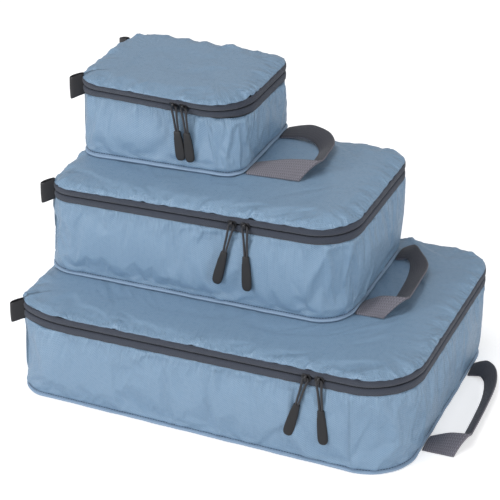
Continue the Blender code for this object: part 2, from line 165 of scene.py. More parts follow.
for method, operation in (("add", "ADD"), ("sub", "SUBTRACT"), ("mul", "MULTIPLY")):
    setattr(Sock, f"__{method}__", operator(operation))
    setattr(Sock, f"__r{method}__", operator(operation, swap=True))
for method, operation in (("__truediv__", "DIVIDE"), ("most", "MAXIMUM"), ("least", "MINIMUM")):
    setattr(Sock, method, operator(operation))
for method, operation in (("fract", "FRACT"), ("absolute", "ABSOLUTE"), ("sine", "SINE")):
    setattr(Sock, method, operator(operation, alone=True))


class Finish:
    # One material. add() takes a node's type, its settings and its socket values or links.
    def __init__(self, name, **shader):
        self.material = bpy.data.materials.new(name)
        self.material.use_nodes = True
        self.tree = self.material.node_tree
        self.shader = self.tree.nodes["Principled BSDF"]
        for key, value in shader.items():
            self.put(self.shader, key.replace("_", " "), value)

    def put(self, node, key, value):
        socket = node.inputs[key]
        if isinstance(value, Sock):
            self.tree.links.new(value.socket, socket)
        elif isinstance(value, tuple) and len(value) == 3 and socket.type == "RGBA":
            socket.default_value = (*value, 1.0)
        else:
            socket.default_value = value

    def add(self, kind, settings=None, values=None, out=0):
        node = self.tree.nodes.new(kind)
        for key, value in (settings or {}).items():
            setattr(node, key, value)
        for key, value in (values or {}).items():
            self.put(node, key, value)
        return Sock(self, node.outputs[out])

    def objectPlace(self):
        return self.add("ShaderNodeTexCoord", out="Object")

    def clothPlace(self, name="clothMap"):
        # The two distances along the cloth, in metres, from the piece's own map.
        place = self.add("ShaderNodeUVMap", {"uv_map": name})
        return self.axis(place, "X"), self.axis(place, "Y")

    def joinXY(self, x, y):
        return self.add("ShaderNodeCombineXYZ", None, {0: x, 1: y})

    def axis(self, vector, letter):
        return self.add("ShaderNodeSeparateXYZ", None, {0: vector}, letter)

    def fadeOut(self, away):
        # One at a seam, falling smoothly to nothing past a distance of about one.
        return self.add("ShaderNodeMath", {"operation": "EXPONENT"}, {0: away * away * -1})

    def noise(self, vector, scale, detail=2.0, roughness=0.5):
        values = {"Vector": vector, "Scale": scale, "Detail": detail, "Roughness": roughness}
        return self.add("ShaderNodeTexNoise", None, values)

    def mix(self, amount, first, second):
        # Sockets 6 and 7 are the two colours of a Mix node, and output 2 is its colour.
        return self.add("ShaderNodeMix", {"data_type": "RGBA"}, {0: amount, 6: first, 7: second}, 2)

    def bump(self, height, distance, strength=1.0, under=None):
        values = {"Height": height, "Distance": distance, "Strength": strength}
        if under is not None:
            values["Normal"] = under
        return self.add("ShaderNodeBump", None, values)

    def finish(self, **links):
        for key, value in links.items():
            self.put(self.shader, key.replace("_", " "), value)
        return self.material


def srgb(red, green, blue):
    return tuple(((c / 255 + 0.055) / 1.055) ** 2.4 if c > 10 else c / 3294.6 for c in (red, green, blue))


def linked(name, data):
    thing = bpy.data.objects.new(name, data)
    bpy.context.scene.collection.objects.link(thing)
    return thing


def meshPiece(name, points, faces, uv=None):
    # points is an array of positions, faces a list or array of corner indices, uv one pair a point.
    mesh = bpy.data.meshes.new(name)
    corners = [tuple(int(i) for i in face) for face in faces]
    mesh.from_pydata([tuple(p) for p in np.asarray(points, float)], [], corners)
    mesh.update()
    if uv is not None:
        layer = mesh.uv_layers.new(name="clothMap")
        loops = np.zeros(len(mesh.loops), np.int32)
        mesh.loops.foreach_get("vertex_index", loops)
        layer.data.foreach_set("uv", np.asarray(uv, np.float32)[loops].reshape(-1))
    mesh.polygons.foreach_set("use_smooth", [True] * len(mesh.polygons))
    return linked(name, mesh)


def addSeamMap(piece, along, away):
    # A second map: the distance along the nearest zipper seam, and away from it.
    pair = np.stack(np.broadcast_arrays(along, away), axis=-1).reshape(-1, 2)
    pair = np.concatenate([pair, pair])
    layer = piece.data.uv_layers.new(name="seamMap")
    loops = np.zeros(len(piece.data.loops), np.int32)
    piece.data.loops.foreach_get("vertex_index", loops)
    layer.data.foreach_set("uv", pair[loops].astype(np.float32).reshape(-1))


def gridNormals(points, closed):
    # points is rows by columns; columns close on themselves where closed.
    if closed:
        across = np.roll(points, -1, axis=1) - np.roll(points, 1, axis=1)
    else:
        across = np.gradient(points, axis=1)
    up = np.gradient(points, axis=0)
    normals = np.cross(across, up)
    return normals / np.maximum(np.linalg.norm(normals, axis=2, keepdims=True), 1e-12)


def gridQuads(rows, columns, closed, start=0):
    last = columns if closed else columns - 1
    row, column = np.meshgrid(np.arange(rows - 1), np.arange(last), indexing="ij")
    after = (column + 1) % columns
    quads = np.stack([row * columns + column, row * columns + after,
                      (row + 1) * columns + after, (row + 1) * columns + column], axis=-1)
    return quads.reshape(-1, 4) + start


def shellPiece(name, points, uv, closed, thick, material, lining=None, normals=None):
    # A closed shell: the outer grid, the same grid pushed in by thick, and the rims between.
    rows, columns, _ = points.shape
    if normals is None:
        normals = gridNormals(points, closed)
    outer = points.reshape(-1, 3)
    inner = (points - normals * thick).reshape(-1, 3)
    count = len(outer)
    faces = [gridQuads(rows, columns, closed), gridQuads(rows, columns, closed, count)[:, ::-1]]
    edges = [np.arange(columns) + 0, (np.arange(columns) + (rows - 1) * columns)[::-1]]
    for edge in edges:
        if closed:
            nxt = np.roll(edge, -1)
        else:
            edge, nxt = edge[:-1], edge[1:]
        faces.append(np.stack([edge, edge + count, nxt + count, nxt], axis=-1))
    if not closed:
        for side in ((np.arange(rows) * columns)[::-1], np.arange(rows) * columns + columns - 1):
            faces.append(np.stack([side[:-1], side[:-1] + count, side[1:] + count, side[1:]], axis=-1))
    sizes = [len(f) for f in faces]
    both = np.concatenate([outer, inner])
    piece = meshPiece(name, both, np.concatenate(faces), np.concatenate([uv.reshape(-1, 2)] * 2))
    piece.data.materials.append(material)
    if lining:
        piece.data.materials.append(lining)
        index = np.zeros(sum(sizes), np.int32)
        index[sizes[0]:sizes[0] + sizes[1]] = 1
        piece.data.polygons.foreach_set("material_index", index)
    return piece


def sweepPiece(name, course, frames, profile, material):
    # A closed tube: profile is (side, up) pairs, frames gives each station's side and up vectors.
    course = np.asarray(course, float)
    profile = np.asarray(profile, float)
    side = np.asarray([f[0] for f in frames])
    up = np.asarray([f[1] for f in frames])
    scale = np.asarray([f[2] if len(f) > 2 else (1.0, 1.0) for f in frames])
    points = (course[:, None] + side[:, None] * (profile[None, :, 0:1] * scale[:, None, 0:1])
              + up[:, None] * (profile[None, :, 1:2] * scale[:, None, 1:2]))
    rows, columns, _ = points.shape
    faces = [tuple(f) for f in gridQuads(rows, columns, True)]
    faces.append(tuple(range(columns))[::-1])
    faces.append(tuple(range((rows - 1) * columns, rows * columns)))
    along = np.concatenate([[0], np.cumsum(np.linalg.norm(np.diff(course, axis=0), axis=1))])
    around = np.concatenate([[0], np.cumsum(np.linalg.norm(np.diff(profile, axis=0), axis=1))])
    clothMap = np.stack(np.broadcast_arrays(along[:, None], around[None, :]), axis=-1)
    piece = meshPiece(name, points.reshape(-1, 3), faces, clothMap.reshape(-1, 2))
    shape = bmesh.new()
    shape.from_mesh(piece.data)
    bmesh.ops.recalc_face_normals(shape, faces=shape.faces)
    shape.to_mesh(piece.data)
    shape.free()
    piece.data.materials.append(material)
    return piece


# The light thread colour is also used as the painted highlight on the gather crests.
nylonLook = {
    "blue": srgb(114, 143, 170), "lightThreadAndHighlight": srgb(142, 171, 197), "darkThread": srgb(90, 119, 149),
    "cellWide": 3.3 * mm, "cellTall": 2.1 * mm, "relief": 0.2 * mm,
    "roughness": 0.33, "lining": srgb(104, 128, 152),
    "gather": 0.55 * mm, "gatherPitch": 3.6 * mm, "gatherReach": 17 * mm, "fluteReach": 52 * mm,
}


def nylonFinish(name, look, inside=False, gathered=True):
    # Shiny ripstop: a diamond grid of thicker threads over a fine weave, gathered at the seams, with painted
    # highlight on the gathers' crests.
    f = Finish(name, Roughness=look["roughness"], Specular_IOR_Level=0.62,
               Sheen_Weight=0.06, Sheen_Roughness=0.3)
    along, rise = f.clothPlace()
    cellX = along / look["cellWide"]
    cellY = rise / look["cellTall"]
    first = ((cellX + cellY).fract() - 0.5).absolute() * 2
    second = ((cellX - cellY).fract() - 0.5).absolute() * 2
    ridge = first.most(second)
    thread = ((ridge - 0.58) * 2.4).most(0.0).least(1.0)
    weave = ((along * (6.2832 / (0.42 * mm))).sine() * (rise * (6.2832 / (0.42 * mm))).sine()) * 0.5 + 0.5
    place = f.objectPlace()
    cloudy = f.noise(place, 16.0, 3.0)
    patchy = f.noise(place, 240.0, 2.0)
    if inside:
        plain = f.mix(cloudy * 0.5, look["lining"], tuple(c * 0.86 for c in look["lining"]))
        colour = f.mix(thread * 0.25, plain, look["darkThread"])
        f.finish(Base_Color=colour, Roughness=0.62,
                 Normal=f.bump(thread + weave * 0.2, look["relief"] * 0.7))
        return f.material
    plain = f.mix(cloudy * 0.55, look["blue"], tuple(c * 0.92 for c in look["blue"]))
    woven = f.mix(thread * 0.6, plain, look["lightThreadAndHighlight"])
    colour = f.mix((1 - ridge) * 0.42, woven, look["darkThread"])
    rough = look["roughness"] + (patchy - 0.5) * 0.10 - thread * 0.06
    normal = f.bump(thread + weave * 0.15, look["relief"])
    if gathered:
        seam, away = f.clothPlace("seamMap")
        fade = f.fadeOut(away / look["gatherReach"])
        # Crisp gathers stand at right angles to the seam, some long, some short.
        crest = f.noise(f.joinXY(seam / look["gatherPitch"], away / (26 * mm)), 1.0, 3.0, 0.6)
        fold = f.noise(f.joinXY(seam / (9.5 * mm), away / (60 * mm)), 1.0, 2.0)
        near = f.fadeOut(away / look["fluteReach"])
        normal = f.bump(crest * fade * 2.4 + fold * near * 2.1, look["gather"] * 2.0, 1.0, normal)
        # The gather crests are lightened towards the light thread colour: painted highlight.
        colour = f.mix(((crest - 0.52) * fade * 3.0).most(0.0).least(0.55), colour, look["lightThreadAndHighlight"])
    f.finish(Base_Color=colour, Roughness=rough, Normal=normal)
    return f.material


tapeLook = {"grey": srgb(62, 69, 84), "dark": srgb(28, 32, 42), "rib": 2.2 * mm, "relief": 0.22 * mm}


def tapeFinish(name, look):
    # Woven tape: small herringbone ribs across a plain charcoal ground.
    f = Finish(name, Roughness=0.72, Specular_IOR_Level=0.35, Sheen_Weight=0.15, Sheen_Roughness=0.5)
    along, rise = f.clothPlace()
    lane = ((rise / (1.8 * mm)).fract() - 0.5).absolute()
    rib = (((along / look["rib"] + lane * 2).fract() - 0.5).absolute() * 2)
    grain = f.noise(f.objectPlace(), 900.0, 2.0)
    colour = f.mix((rib * 0.7 + grain * 0.5).least(1.0), look["dark"], look["grey"])
    f.finish(Base_Color=colour, Normal=f.bump(rib + grain * 0.5, look["relief"]))
    return f.material


webLook = {"grey": srgb(132, 130, 140), "dark": srgb(66, 64, 74), "rib": 3.4 * mm, "pick": 2.4 * mm,
           "relief": 0.4 * mm}
# A darker copy of the webbing for the strap's other face, seen past the fold: painted shade.
webShadeLook = {**webLook, "grey": srgb(66, 67, 77), "dark": srgb(38, 38, 46), "relief": 0.35 * mm}


def webFinish(name, look):
    # Heavy webbing: chevron ribs that change over at each pick.
    f = Finish(name, Roughness=0.66, Specular_IOR_Level=0.4, Sheen_Weight=0.2, Sheen_Roughness=0.5)
    along, rise = f.clothPlace()
    lane = rise / look["rib"]
    turn = (lane.fract() - 0.5).absolute()
    rib = ((along / look["pick"] + turn * 1.2).fract() - 0.5).absolute() * 2
    groove = ((turn - 0.36) * 8).most(0.0).least(1.0)
    grain = f.noise(f.objectPlace(), 700.0, 3.0)
    height = rib * (1 - groove * 0.8)
    colour = f.mix((height * 0.75 + grain * 0.35).least(1.0), look["dark"], look["grey"])
    f.finish(Base_Color=colour, Normal=f.bump(height + grain * 0.3, look["relief"]))
    return f.material


def plainCloth(name, light, dark, rough, pitch, relief, sheen=0.1):
    # A tight plain weave read along the piece's own map.
    f = Finish(name, Roughness=rough, Specular_IOR_Level=0.45, Sheen_Weight=sheen, Sheen_Roughness=0.4)
    along, rise = f.clothPlace()
    over = (along * (3.1416 / pitch)).sine() * (rise * (3.1416 / pitch)).sine() * 0.5 + 0.5
    grain = f.noise(f.objectPlace(), 500.0, 2.0)
    f.finish(Base_Color=f.mix(over * 0.5 + grain * 0.5, dark, light),
             Normal=f.bump(over + grain * 0.4, relief))
    return f.material


def mouldedFinish(name, light, dark, rough, grainSize, relief):
    f = Finish(name, Roughness=rough, Specular_IOR_Level=0.5)
    place = f.objectPlace()
    grain = f.noise(place, grainSize, 3.0)
    wear = f.noise(place, 130.0, 3.0)
    f.finish(Base_Color=f.mix(wear, dark, light), Roughness=rough + (wear - 0.5) * 0.12,
             Normal=f.bump(grain, relief))
    return f.material


def metalFinish(name, light, dark):
    # Black lacquer over die-cast metal, with a little wear in random patches.
    f = Finish(name, Metallic=0.65, Specular_IOR_Level=0.6, Coat_Weight=0.25, Coat_Roughness=0.2)
    place = f.objectPlace()
    wear = f.noise(place, 420.0, 3.0)
    f.finish(Base_Color=f.mix(wear, dark, light), Roughness=0.26 + wear * 0.16,
             Normal=f.bump(f.noise(place, 1400.0, 2.0), 0.02 * mm))
    return f.material


def cordFinish(name):
    # A braided cord: two sets of strands that cross round it.
    f = Finish(name, Roughness=0.6, Specular_IOR_Level=0.4, Sheen_Weight=0.15, Sheen_Roughness=0.5)
    along, around = f.clothPlace()
    one = ((along / (1.5 * mm) + around / (1.8 * mm)).fract() - 0.5).absolute()
    two = ((along / (1.5 * mm) - around / (1.8 * mm)).fract() - 0.5).absolute()
    strand = one.most(two) * 2
    f.finish(Base_Color=f.mix(strand, srgb(16, 16, 19), srgb(50, 50, 55)), Normal=f.bump(strand, 0.2 * mm))
    return f.material


def makeFinishes():
    return {
        "nylon": nylonFinish("ripstopNylon", nylonLook),
        "baseNylon": nylonFinish("ripstopBase", nylonLook, gathered=False),
        "lining": nylonFinish("nylonInside", nylonLook, True),
        "piping": plainCloth("seamBinding", srgb(142, 164, 188), srgb(108, 134, 161), 0.5,
                             0.8 * mm, 0.08 * mm),
        "tape": tapeFinish("zipperTape", tapeLook),
        "coil": mouldedFinish("nylonCoil", srgb(60, 63, 72), srgb(38, 40, 48), 0.42, 900.0, 0.02 * mm),
        "web": webFinish("strapWebbing", webLook),
        "webShade": webFinish("strapWebbingShade", webShadeLook),
        "tab": plainCloth("tabCloth", srgb(34, 34, 39), srgb(18, 18, 22), 0.34, 0.5 * mm, 0.05 * mm),
        "metal": metalFinish("blackLacquer", srgb(50, 49, 52), srgb(24, 23, 26)),
        "cord": cordFinish("braidedCord"),
        "rubber": mouldedFinish("gripRubber", srgb(23, 23, 27), srgb(12, 12, 15), 0.5, 1600.0, 0.05 * mm),
        "thread": plainCloth("darkThread", srgb(52, 68, 92), srgb(33, 45, 66), 0.6, 0.3 * mm, 0.05 * mm),
        "tapeThread": plainCloth("tapeThread", srgb(44, 47, 56), srgb(28, 30, 38), 0.6,
                                 0.3 * mm, 0.05 * mm),
        "label": plainCloth("wovenLabel", srgb(34, 38, 50), srgb(22, 25, 34), 0.6, 0.5 * mm, 0.05 * mm),
    }


def planColumns(cube, pitch):
    # Shares the outline out in columns, from the zipper's front end anticlockwise.
    # Each column is (part, share): part 0 to 7 is arc, straight, arc... and share its place along it.
    width, depth = cube["width"], cube["depth"]
    left, right, back = cube["leftRadius"], cube["rightRadius"], cube["backRadius"]
    hind = cube["hindRadius"]
    quarter = math.pi / 2
    turned = math.radians(270 - cubeMake["zipTurn"])
    lengths = [
        left * turned, width - left - right, right * quarter, depth - right - back,
        back * quarter, width - hind - back, hind * turned,
        hind * (quarter - turned), depth - left - hind, left * (quarter - turned),
    ]
    parts, shares, places, done = [], [], [], 0.0
    for part, length in enumerate(lengths):
        count = max(int(round(length / pitch)), 2)
        for step in range(count):
            parts.append(part)
            shares.append(step / count)
            places.append(done + length * step / count)
        done += length
    cube["around"] = done
    return np.array(parts), np.array(shares), np.array(places)


def planPoint(cube, parts, shares, rise, outward):
    # x, y on the outline; rise is 0 at the underside and 1 at the lid seam.
    rise = np.clip(rise, 0.0, 1.0)
    leftInset, rightInset, frontInset = (inset * (1 - rise) - outward for inset in cube["insets"])
    left = np.maximum(cube["baseLeft"] * (1 - rise) + cube["leftRadius"] * rise + outward, 2 * mm)
    right = np.maximum(cube["baseRight"] * (1 - rise) + cube["rightRadius"] * rise + outward, 2 * mm)
    baseBack = min(cube["baseRight"], cube["backRadius"])
    back = np.maximum(baseBack * (1 - rise) + cube["backRadius"] * rise + outward, 2 * mm)
    hind = np.maximum(left + (cube["hindRadius"] - cube["leftRadius"]) * rise, 2 * mm)
    oval = left + (cube["cornerLong"] - cube["leftRadius"]) * rise
    lowX = cube["low"][0] + leftInset
    highX = cube["low"][0] + cube["width"] - rightInset
    lowY = cube["low"][1] + frontInset
    highY = cube["low"][1] + cube["depth"] - frontInset
    x = np.zeros(np.broadcast(parts, rise).shape)
    y = np.zeros_like(x)
    turn = cubeMake["zipTurn"]
    corners = (
        (0, lowX + oval, lowY + left, oval, left, turn, 270),
        (2, highX - right, lowY + right, right, right, 270, 360),
        (4, highX - back, highY - back, back, back, 0, 90),
        (6, lowX + hind, highY - hind, hind, hind, 90, 360 - turn),
        (7, lowX + hind, highY - hind, hind, hind, 360 - turn, 180),
        (9, lowX + oval, lowY + left, oval, left, 180, turn),
    )
    for part, centreX, centreY, long, radius, start, stop in corners:
        angle = np.radians(start + (stop - start) * shares)
        x = np.where(parts == part, centreX + long * np.cos(angle), x)
        y = np.where(parts == part, centreY + radius * np.sin(angle), y)
    straights = (
        (1, lowX + oval, lowY, highX - right, lowY),
        (3, highX, lowY + right, highX, highY - back),
        (5, highX - back, highY, lowX + hind, highY),
        (8, lowX, highY - hind, lowX, lowY + left),
    )
    for part, x0, y0, x1, y1 in straights:
        x = np.where(parts == part, x0 + (x1 - x0) * shares, x)
        y = np.where(parts == part, y0 + (y1 - y0) * shares, y)
    return x, y


def pleats(random, places, heights, around, tall, kind):
    # Soft folds that start at a seam and die away from it. Gives a push in or out, in metres.
    push = np.zeros(np.broadcast(places, heights).shape)
    for _ in range(int(around / kind["every"])):
        place = random.uniform(0, around)
        wide = random.uniform(*kind["wide"])
        long = random.uniform(*kind["long"])
        deep = random.uniform(*kind["deep"]) * (1 if random.uniform() < kind["out"] else -0.7)
        lean = random.uniform(-kind["lean"], kind["lean"])
        away = np.maximum(tall - heights, 0.0) if kind["fromTop"] else np.maximum(heights - tall, 0.0)
        shift = (places - place - lean * away + around / 2) % around - around / 2
        spread = wide * (1 + away / long * 0.9)
        rise = np.clip(away / (2.2 * mm), 0, 1)
        push += deep * rise * np.exp(-((shift / spread) ** 2)) * np.exp(-((away / long) ** 1.6))
    return push


# What the seams gather: rows of small puckers, soft flutes below the zipper, and the longer
# folds that a full bag drags out of its corners.
wallFolds = {
    "topPucker": {"every": 5.2 * mm, "wide": (1.8 * mm, 3.0 * mm), "long": (5 * mm, 12 * mm),
                  "deep": (0.5 * mm, 1.2 * mm), "out": 0.6, "lean": 0.25, "fromTop": True},
    "topFlute": {"every": 13 * mm, "wide": (3.2 * mm, 6.5 * mm), "long": (24 * mm, 62 * mm),
                 "deep": (0.9 * mm, 2.3 * mm), "out": 0.55, "lean": 0.28, "fromTop": True},
    "basePucker": {"every": 5.5 * mm, "wide": (1.6 * mm, 3.0 * mm), "long": (4 * mm, 11 * mm),
                   "deep": (0.35 * mm, 0.9 * mm), "out": 0.6, "lean": 0.3, "fromTop": False},
    "baseFold": {"every": 22 * mm, "wide": (3.5 * mm, 7 * mm), "long": (16 * mm, 46 * mm),
                 "deep": (0.7 * mm, 1.9 * mm), "out": 0.6, "lean": 0.8, "fromTop": False},
}

clothMake = {
    "frames": 16, "quality": 4, "grow": 0.02, "pressure": 1.6, "mass": 0.12, "stiff": 14.0, "bend": 0.35,
    "seams": 1.0, "outMost": 3.2 * mm, "inMost": 4.5 * mm,
}


def draped(name, points, closed, held, make):
    # The panel settles as cloth cut a little larger than its frame, held along its seams.
    rows, columns, _ = points.shape
    sheet = meshPiece(name + "Sheet", points.reshape(-1, 3), gridQuads(rows, columns, closed))
    group = sheet.vertex_groups.new(name="held")
    for weight in np.unique(held[held > 0]):
        group.add([int(i) for i in np.flatnonzero(held.reshape(-1) == weight)], float(weight), "REPLACE")
    step = sheet.modifiers.new("cloth", "CLOTH")
    cloth = step.settings
    cloth.vertex_group_mass = "held"
    cloth.pin_stiffness = make["seams"]
    cloth.quality = make["quality"]
    cloth.mass = make["mass"]
    cloth.tension_stiffness = cloth.compression_stiffness = make["stiff"]
    cloth.shear_stiffness = make["stiff"] * 0.4
    cloth.bending_stiffness = make["bend"]
    cloth.shrink_min = cloth.shrink_max = -make["grow"]
    cloth.use_pressure = True
    cloth.uniform_pressure_force = make["pressure"]
    cloth.effector_weights.gravity = 0.0
    step.point_cache.frame_start, step.point_cache.frame_end = 1, make["frames"]
    scene = bpy.context.scene
    for at in range(1, make["frames"] + 1):
        scene.frame_set(at)
    graph = bpy.context.evaluated_depsgraph_get()
    settledMesh = sheet.evaluated_get(graph).data
    result = np.zeros(len(settledMesh.vertices) * 3)
    settledMesh.vertices.foreach_get("co", result)
    sheet.modifiers.clear()
    bpy.data.objects.remove(sheet, do_unlink=True)
    scene.frame_set(1)
    moved = result.reshape(points.shape) - points
    normals = gridNormals(points, closed)
    out = np.sum(moved * normals, axis=2, keepdims=True)
    moved = moved + normals * (np.clip(out, -make["inMost"], make["outMost"]) - out)
    size = np.linalg.norm(moved, axis=2, keepdims=True)
    return points + moved * np.minimum(1, 8 * mm / np.maximum(size, 1e-9))


wallMake = {
    "seatUp": 1.0 * mm, "underTape": 0.6 * mm, "hingeGap": 0.4 * mm,
    "frontFull": 1.0 * mm, "sideFull": 2.4 * mm, "frontMost": 2.6 * mm,
}


def wallCloth(cube, finishes):
    # The side wall, up to the zipper on three sides and to the lid seam on the hinge side.
    random = np.random.RandomState(cube["seed"])
    parts, shares, places = planColumns(cube, cubeMake["grid"])
    height = cube["height"]
    seat = cubeMake["hem"] + wallMake["seatUp"]
    zipLow = height - cubeMake["zipBand"] + wallMake["underTape"]
    hingeTop = height - cubeMake["hem"] - wallMake["hingeGap"]
    top = np.where(parts >= 7, hingeTop, zipLow)
    rows = int((zipLow - seat) / cubeMake["rows"]) + 1
    share = np.linspace(0, 1, rows + 1)[:, None]
    heights = seat + (top[None, :] - seat) * share
    tall = top[None, :]
    rise = heights / height
    # How full the wall is: most at mid height, more at the sides than along the front.
    belly = np.sin(np.pi * np.clip(share, 0, 1)) ** 0.8
    front = np.isin(parts, (0, 1))
    fullness = np.where(front, wallMake["frontFull"], wallMake["sideFull"])[None, :]
    push = belly * fullness
    for kind in wallFolds.values():
        anchor = tall if kind["fromTop"] else seat
        push = push + pleats(random, places[None, :], heights, cube["around"], anchor, kind)
    seam = np.clip(share * rows / 1.5, 0, 1) * np.clip((1 - share) * rows / 1.2, 0, 1)
    push = push * (0.15 + 0.85 * seam)
    push = np.where(front[None, :], np.minimum(push, wallMake["frontMost"]), push)
    x, y = planPoint(cube, parts[None, :], shares[None, :], rise, push)
    points = np.stack([x, y, cube["low"][2] + heights], axis=-1)
    held = np.zeros(points.shape[:2])
    held[:2] = held[-2:] = 1.0
    points = draped(cube["name"] + "_wall", points, True, held, clothMake)
    uv = np.stack(np.broadcast_arrays(places[None, :], heights), axis=-1)
    piece = shellPiece(cube["name"] + "_wallCloth", points, uv, True, cubeMake["clothThick"],
                       finishes["nylon"], finishes["lining"])
    addSeamMap(piece, places[None, :], tall - heights)
    return keep(cube, piece, "body", ("side_wall", "hinge_strip"))


lidFolds = {
    "edgePucker": {"every": 6.5 * mm, "wide": (1.9 * mm, 2.8 * mm), "long": (8 * mm, 16 * mm),
                   "deep": (1.0 * mm, 1.9 * mm)},
    "edgePleat": {"every": 16 * mm, "wide": (2.6 * mm, 5.0 * mm), "long": (12 * mm, 30 * mm),
                  "deep": (0.6 * mm, 1.5 * mm)},
    "shoulder": 8.0 * mm, "fadeFaster": 1.9,
}


def lidGrid(cube, pitch, rise=1.0, outward=0.0):
    # A four sided grid whose edge is the rounded outline, made by blending opposite edges.
    parts, shares, places = planColumns(cube, pitch)
    width, depth = cube["width"], cube["depth"]
    countX = int(width / pitch)
    countY = int(depth / pitch)
    left = cube["leftRadius"] * math.pi / 2
    right = cube["rightRadius"] * math.pi / 2
    # Place 0 is the zipper's end. The grid's corners are the middles of the rounded corners.
    before = cube["leftRadius"] * math.radians(225 - cubeMake["zipTurn"])
    front = left / 2 + (width - cube["leftRadius"] - cube["rightRadius"]) + right / 2
    back = cube["backRadius"] * math.pi / 2
    side = right / 2 + (depth - cube["rightRadius"] - cube["backRadius"]) + back / 2
    hind = cube["hindRadius"] * math.pi / 2
    hindSide = hind / 2 + (width - cube["hindRadius"] - cube["backRadius"]) + back / 2
    hinge = hind / 2 + (depth - cube["leftRadius"] - cube["hindRadius"]) + left / 2
    x, y = planPoint(cube, parts, shares, rise, outward)
    ringX, ringY = np.append(x, x[0]), np.append(y, y[0])
    ringU = np.append(places, cube["around"])

    def edge(start, stop, count):
        at = np.linspace(start, stop, count + 1) % cube["around"]
        return np.stack([np.interp(at, ringU, ringX), np.interp(at, ringU, ringY)], axis=-1), at

    low, _ = edge(before, before + front, countX)
    rightSide, _ = edge(before + front, before + front + side, countY)
    high, _ = edge(before + front + side + hindSide, before + front + side, countX)
    leftSide, _ = edge(before + cube["around"], before + cube["around"] - hinge, countY)
    s = np.linspace(0, 1, countX + 1)[None, :, None]
    t = np.linspace(0, 1, countY + 1)[:, None, None]
    grid = ((1 - t) * low[None] + t * high[None] + (1 - s) * leftSide[:, None] + s * rightSide[:, None]
            - (1 - s) * (1 - t) * low[0] - s * (1 - t) * low[-1] - (1 - s) * t * high[0] - s * t * high[-1])
    return grid


def outlineNear(cube, x, y):
    # For points inside the lid: how far in they are, and how far along the outline the nearest edge is.
    parts, shares, places = planColumns(cube, 2.0 * mm)
    edgeX, edgeY = planPoint(cube, parts, shares, 1.0, 0.0)
    flatX, flatY = x.reshape(-1), y.reshape(-1)
    away = np.zeros(len(flatX))
    along = np.zeros(len(flatX))
    for start in range(0, len(flatX), 4000):
        part = slice(start, start + 4000)
        gap = (flatX[part, None] - edgeX[None]) ** 2 + (flatY[part, None] - edgeY[None]) ** 2
        near = np.argmin(gap, axis=1)
        away[part] = np.sqrt(gap[np.arange(len(near)), near])
        along[part] = places[near]
    return away.reshape(x.shape), along.reshape(x.shape)


lidMake = {**clothMake, "grow": 0.006, "pressure": 0.6, "outMost": 0.9 * mm, "inMost": 0.9 * mm}


def lidCloth(cube, finishes):
    # The lid: puckered where it is sewn to the tape, rounded at the shoulder, flat in the middle.
    random = np.random.RandomState(cube["seed"] + 5)
    grid = lidGrid(cube, cubeMake["lidGrid"])
    away, along = outlineNear(cube, grid[..., 0], grid[..., 1])
    shoulder, rise = lidFolds["shoulder"], cube["dome"] - 0.3 * mm
    lift = rise * (1 - np.exp(-((away / shoulder) ** 1.15)))
    push = np.zeros(away.shape)
    for kind in (lidFolds["edgePucker"], lidFolds["edgePleat"]):
        for _ in range(int(cube["around"] / kind["every"])):
            place = random.uniform(0, cube["around"])
            wide = random.uniform(*kind["wide"])
            long = random.uniform(*kind["long"])
            deep = random.uniform(*kind["deep"]) * (1 if random.uniform() < 0.6 else -0.6)
            lean = random.uniform(-0.4, 0.4)
            shift = (along - place - lean * away + cube["around"] / 2) % cube["around"] - cube["around"] / 2
            push += deep * np.exp(-((shift / (wide + away * 0.25)) ** 2)) * (
                np.exp(-((away / long) ** 1.5)) * np.clip(away / (2.0 * mm), 0.1, 1))
    top = cube["low"][2] + cube["height"]
    crown = top - 0.8 * mm + lift + push
    crown = np.minimum(crown, top + rise)
    points = np.stack([grid[..., 0], grid[..., 1], crown], axis=-1)
    uv = np.stack([grid[..., 0], grid[..., 1]], axis=-1)
    held = np.zeros(points.shape[:2])
    held[0] = held[-1] = 1.0
    held[:, 0] = held[:, -1] = 1.0
    points = draped(cube["name"] + "_lid", points, False, held, lidMake)
    points[..., 2] = np.minimum(points[..., 2], top + rise)
    piece = shellPiece(cube["name"] + "_lidCloth", points, uv, False, cubeMake["clothThick"],
                       finishes["nylon"], finishes["lining"])
    addSeamMap(piece, along, away * lidFolds["fadeFaster"])
    return keep(cube, piece, "lid", ("lid_panel",))


zipLook = {
    "bow": 0.9 * mm, "thick": 0.9 * mm, "foldIn": 1.0 * mm, "pitch": 2.0 * mm, "gap": 0.35 * mm,
    "underLid": 0.9 * mm, "tuck": 3.0 * mm, "wave": 0.18 * mm, "coilOff": 1.75 * mm, "coilIn": 2.25 * mm,
    "stitchOut": 0.55 * mm, "lowStitch": 1.5 * mm, "highStitch": 2.4 * mm,
}


def zipCourse(cube, pitch):
    # The columns of the outline that the zipper runs along.
    columns = planColumns(cube, pitch)
    return [values[columns[0] <= 6] for values in columns]


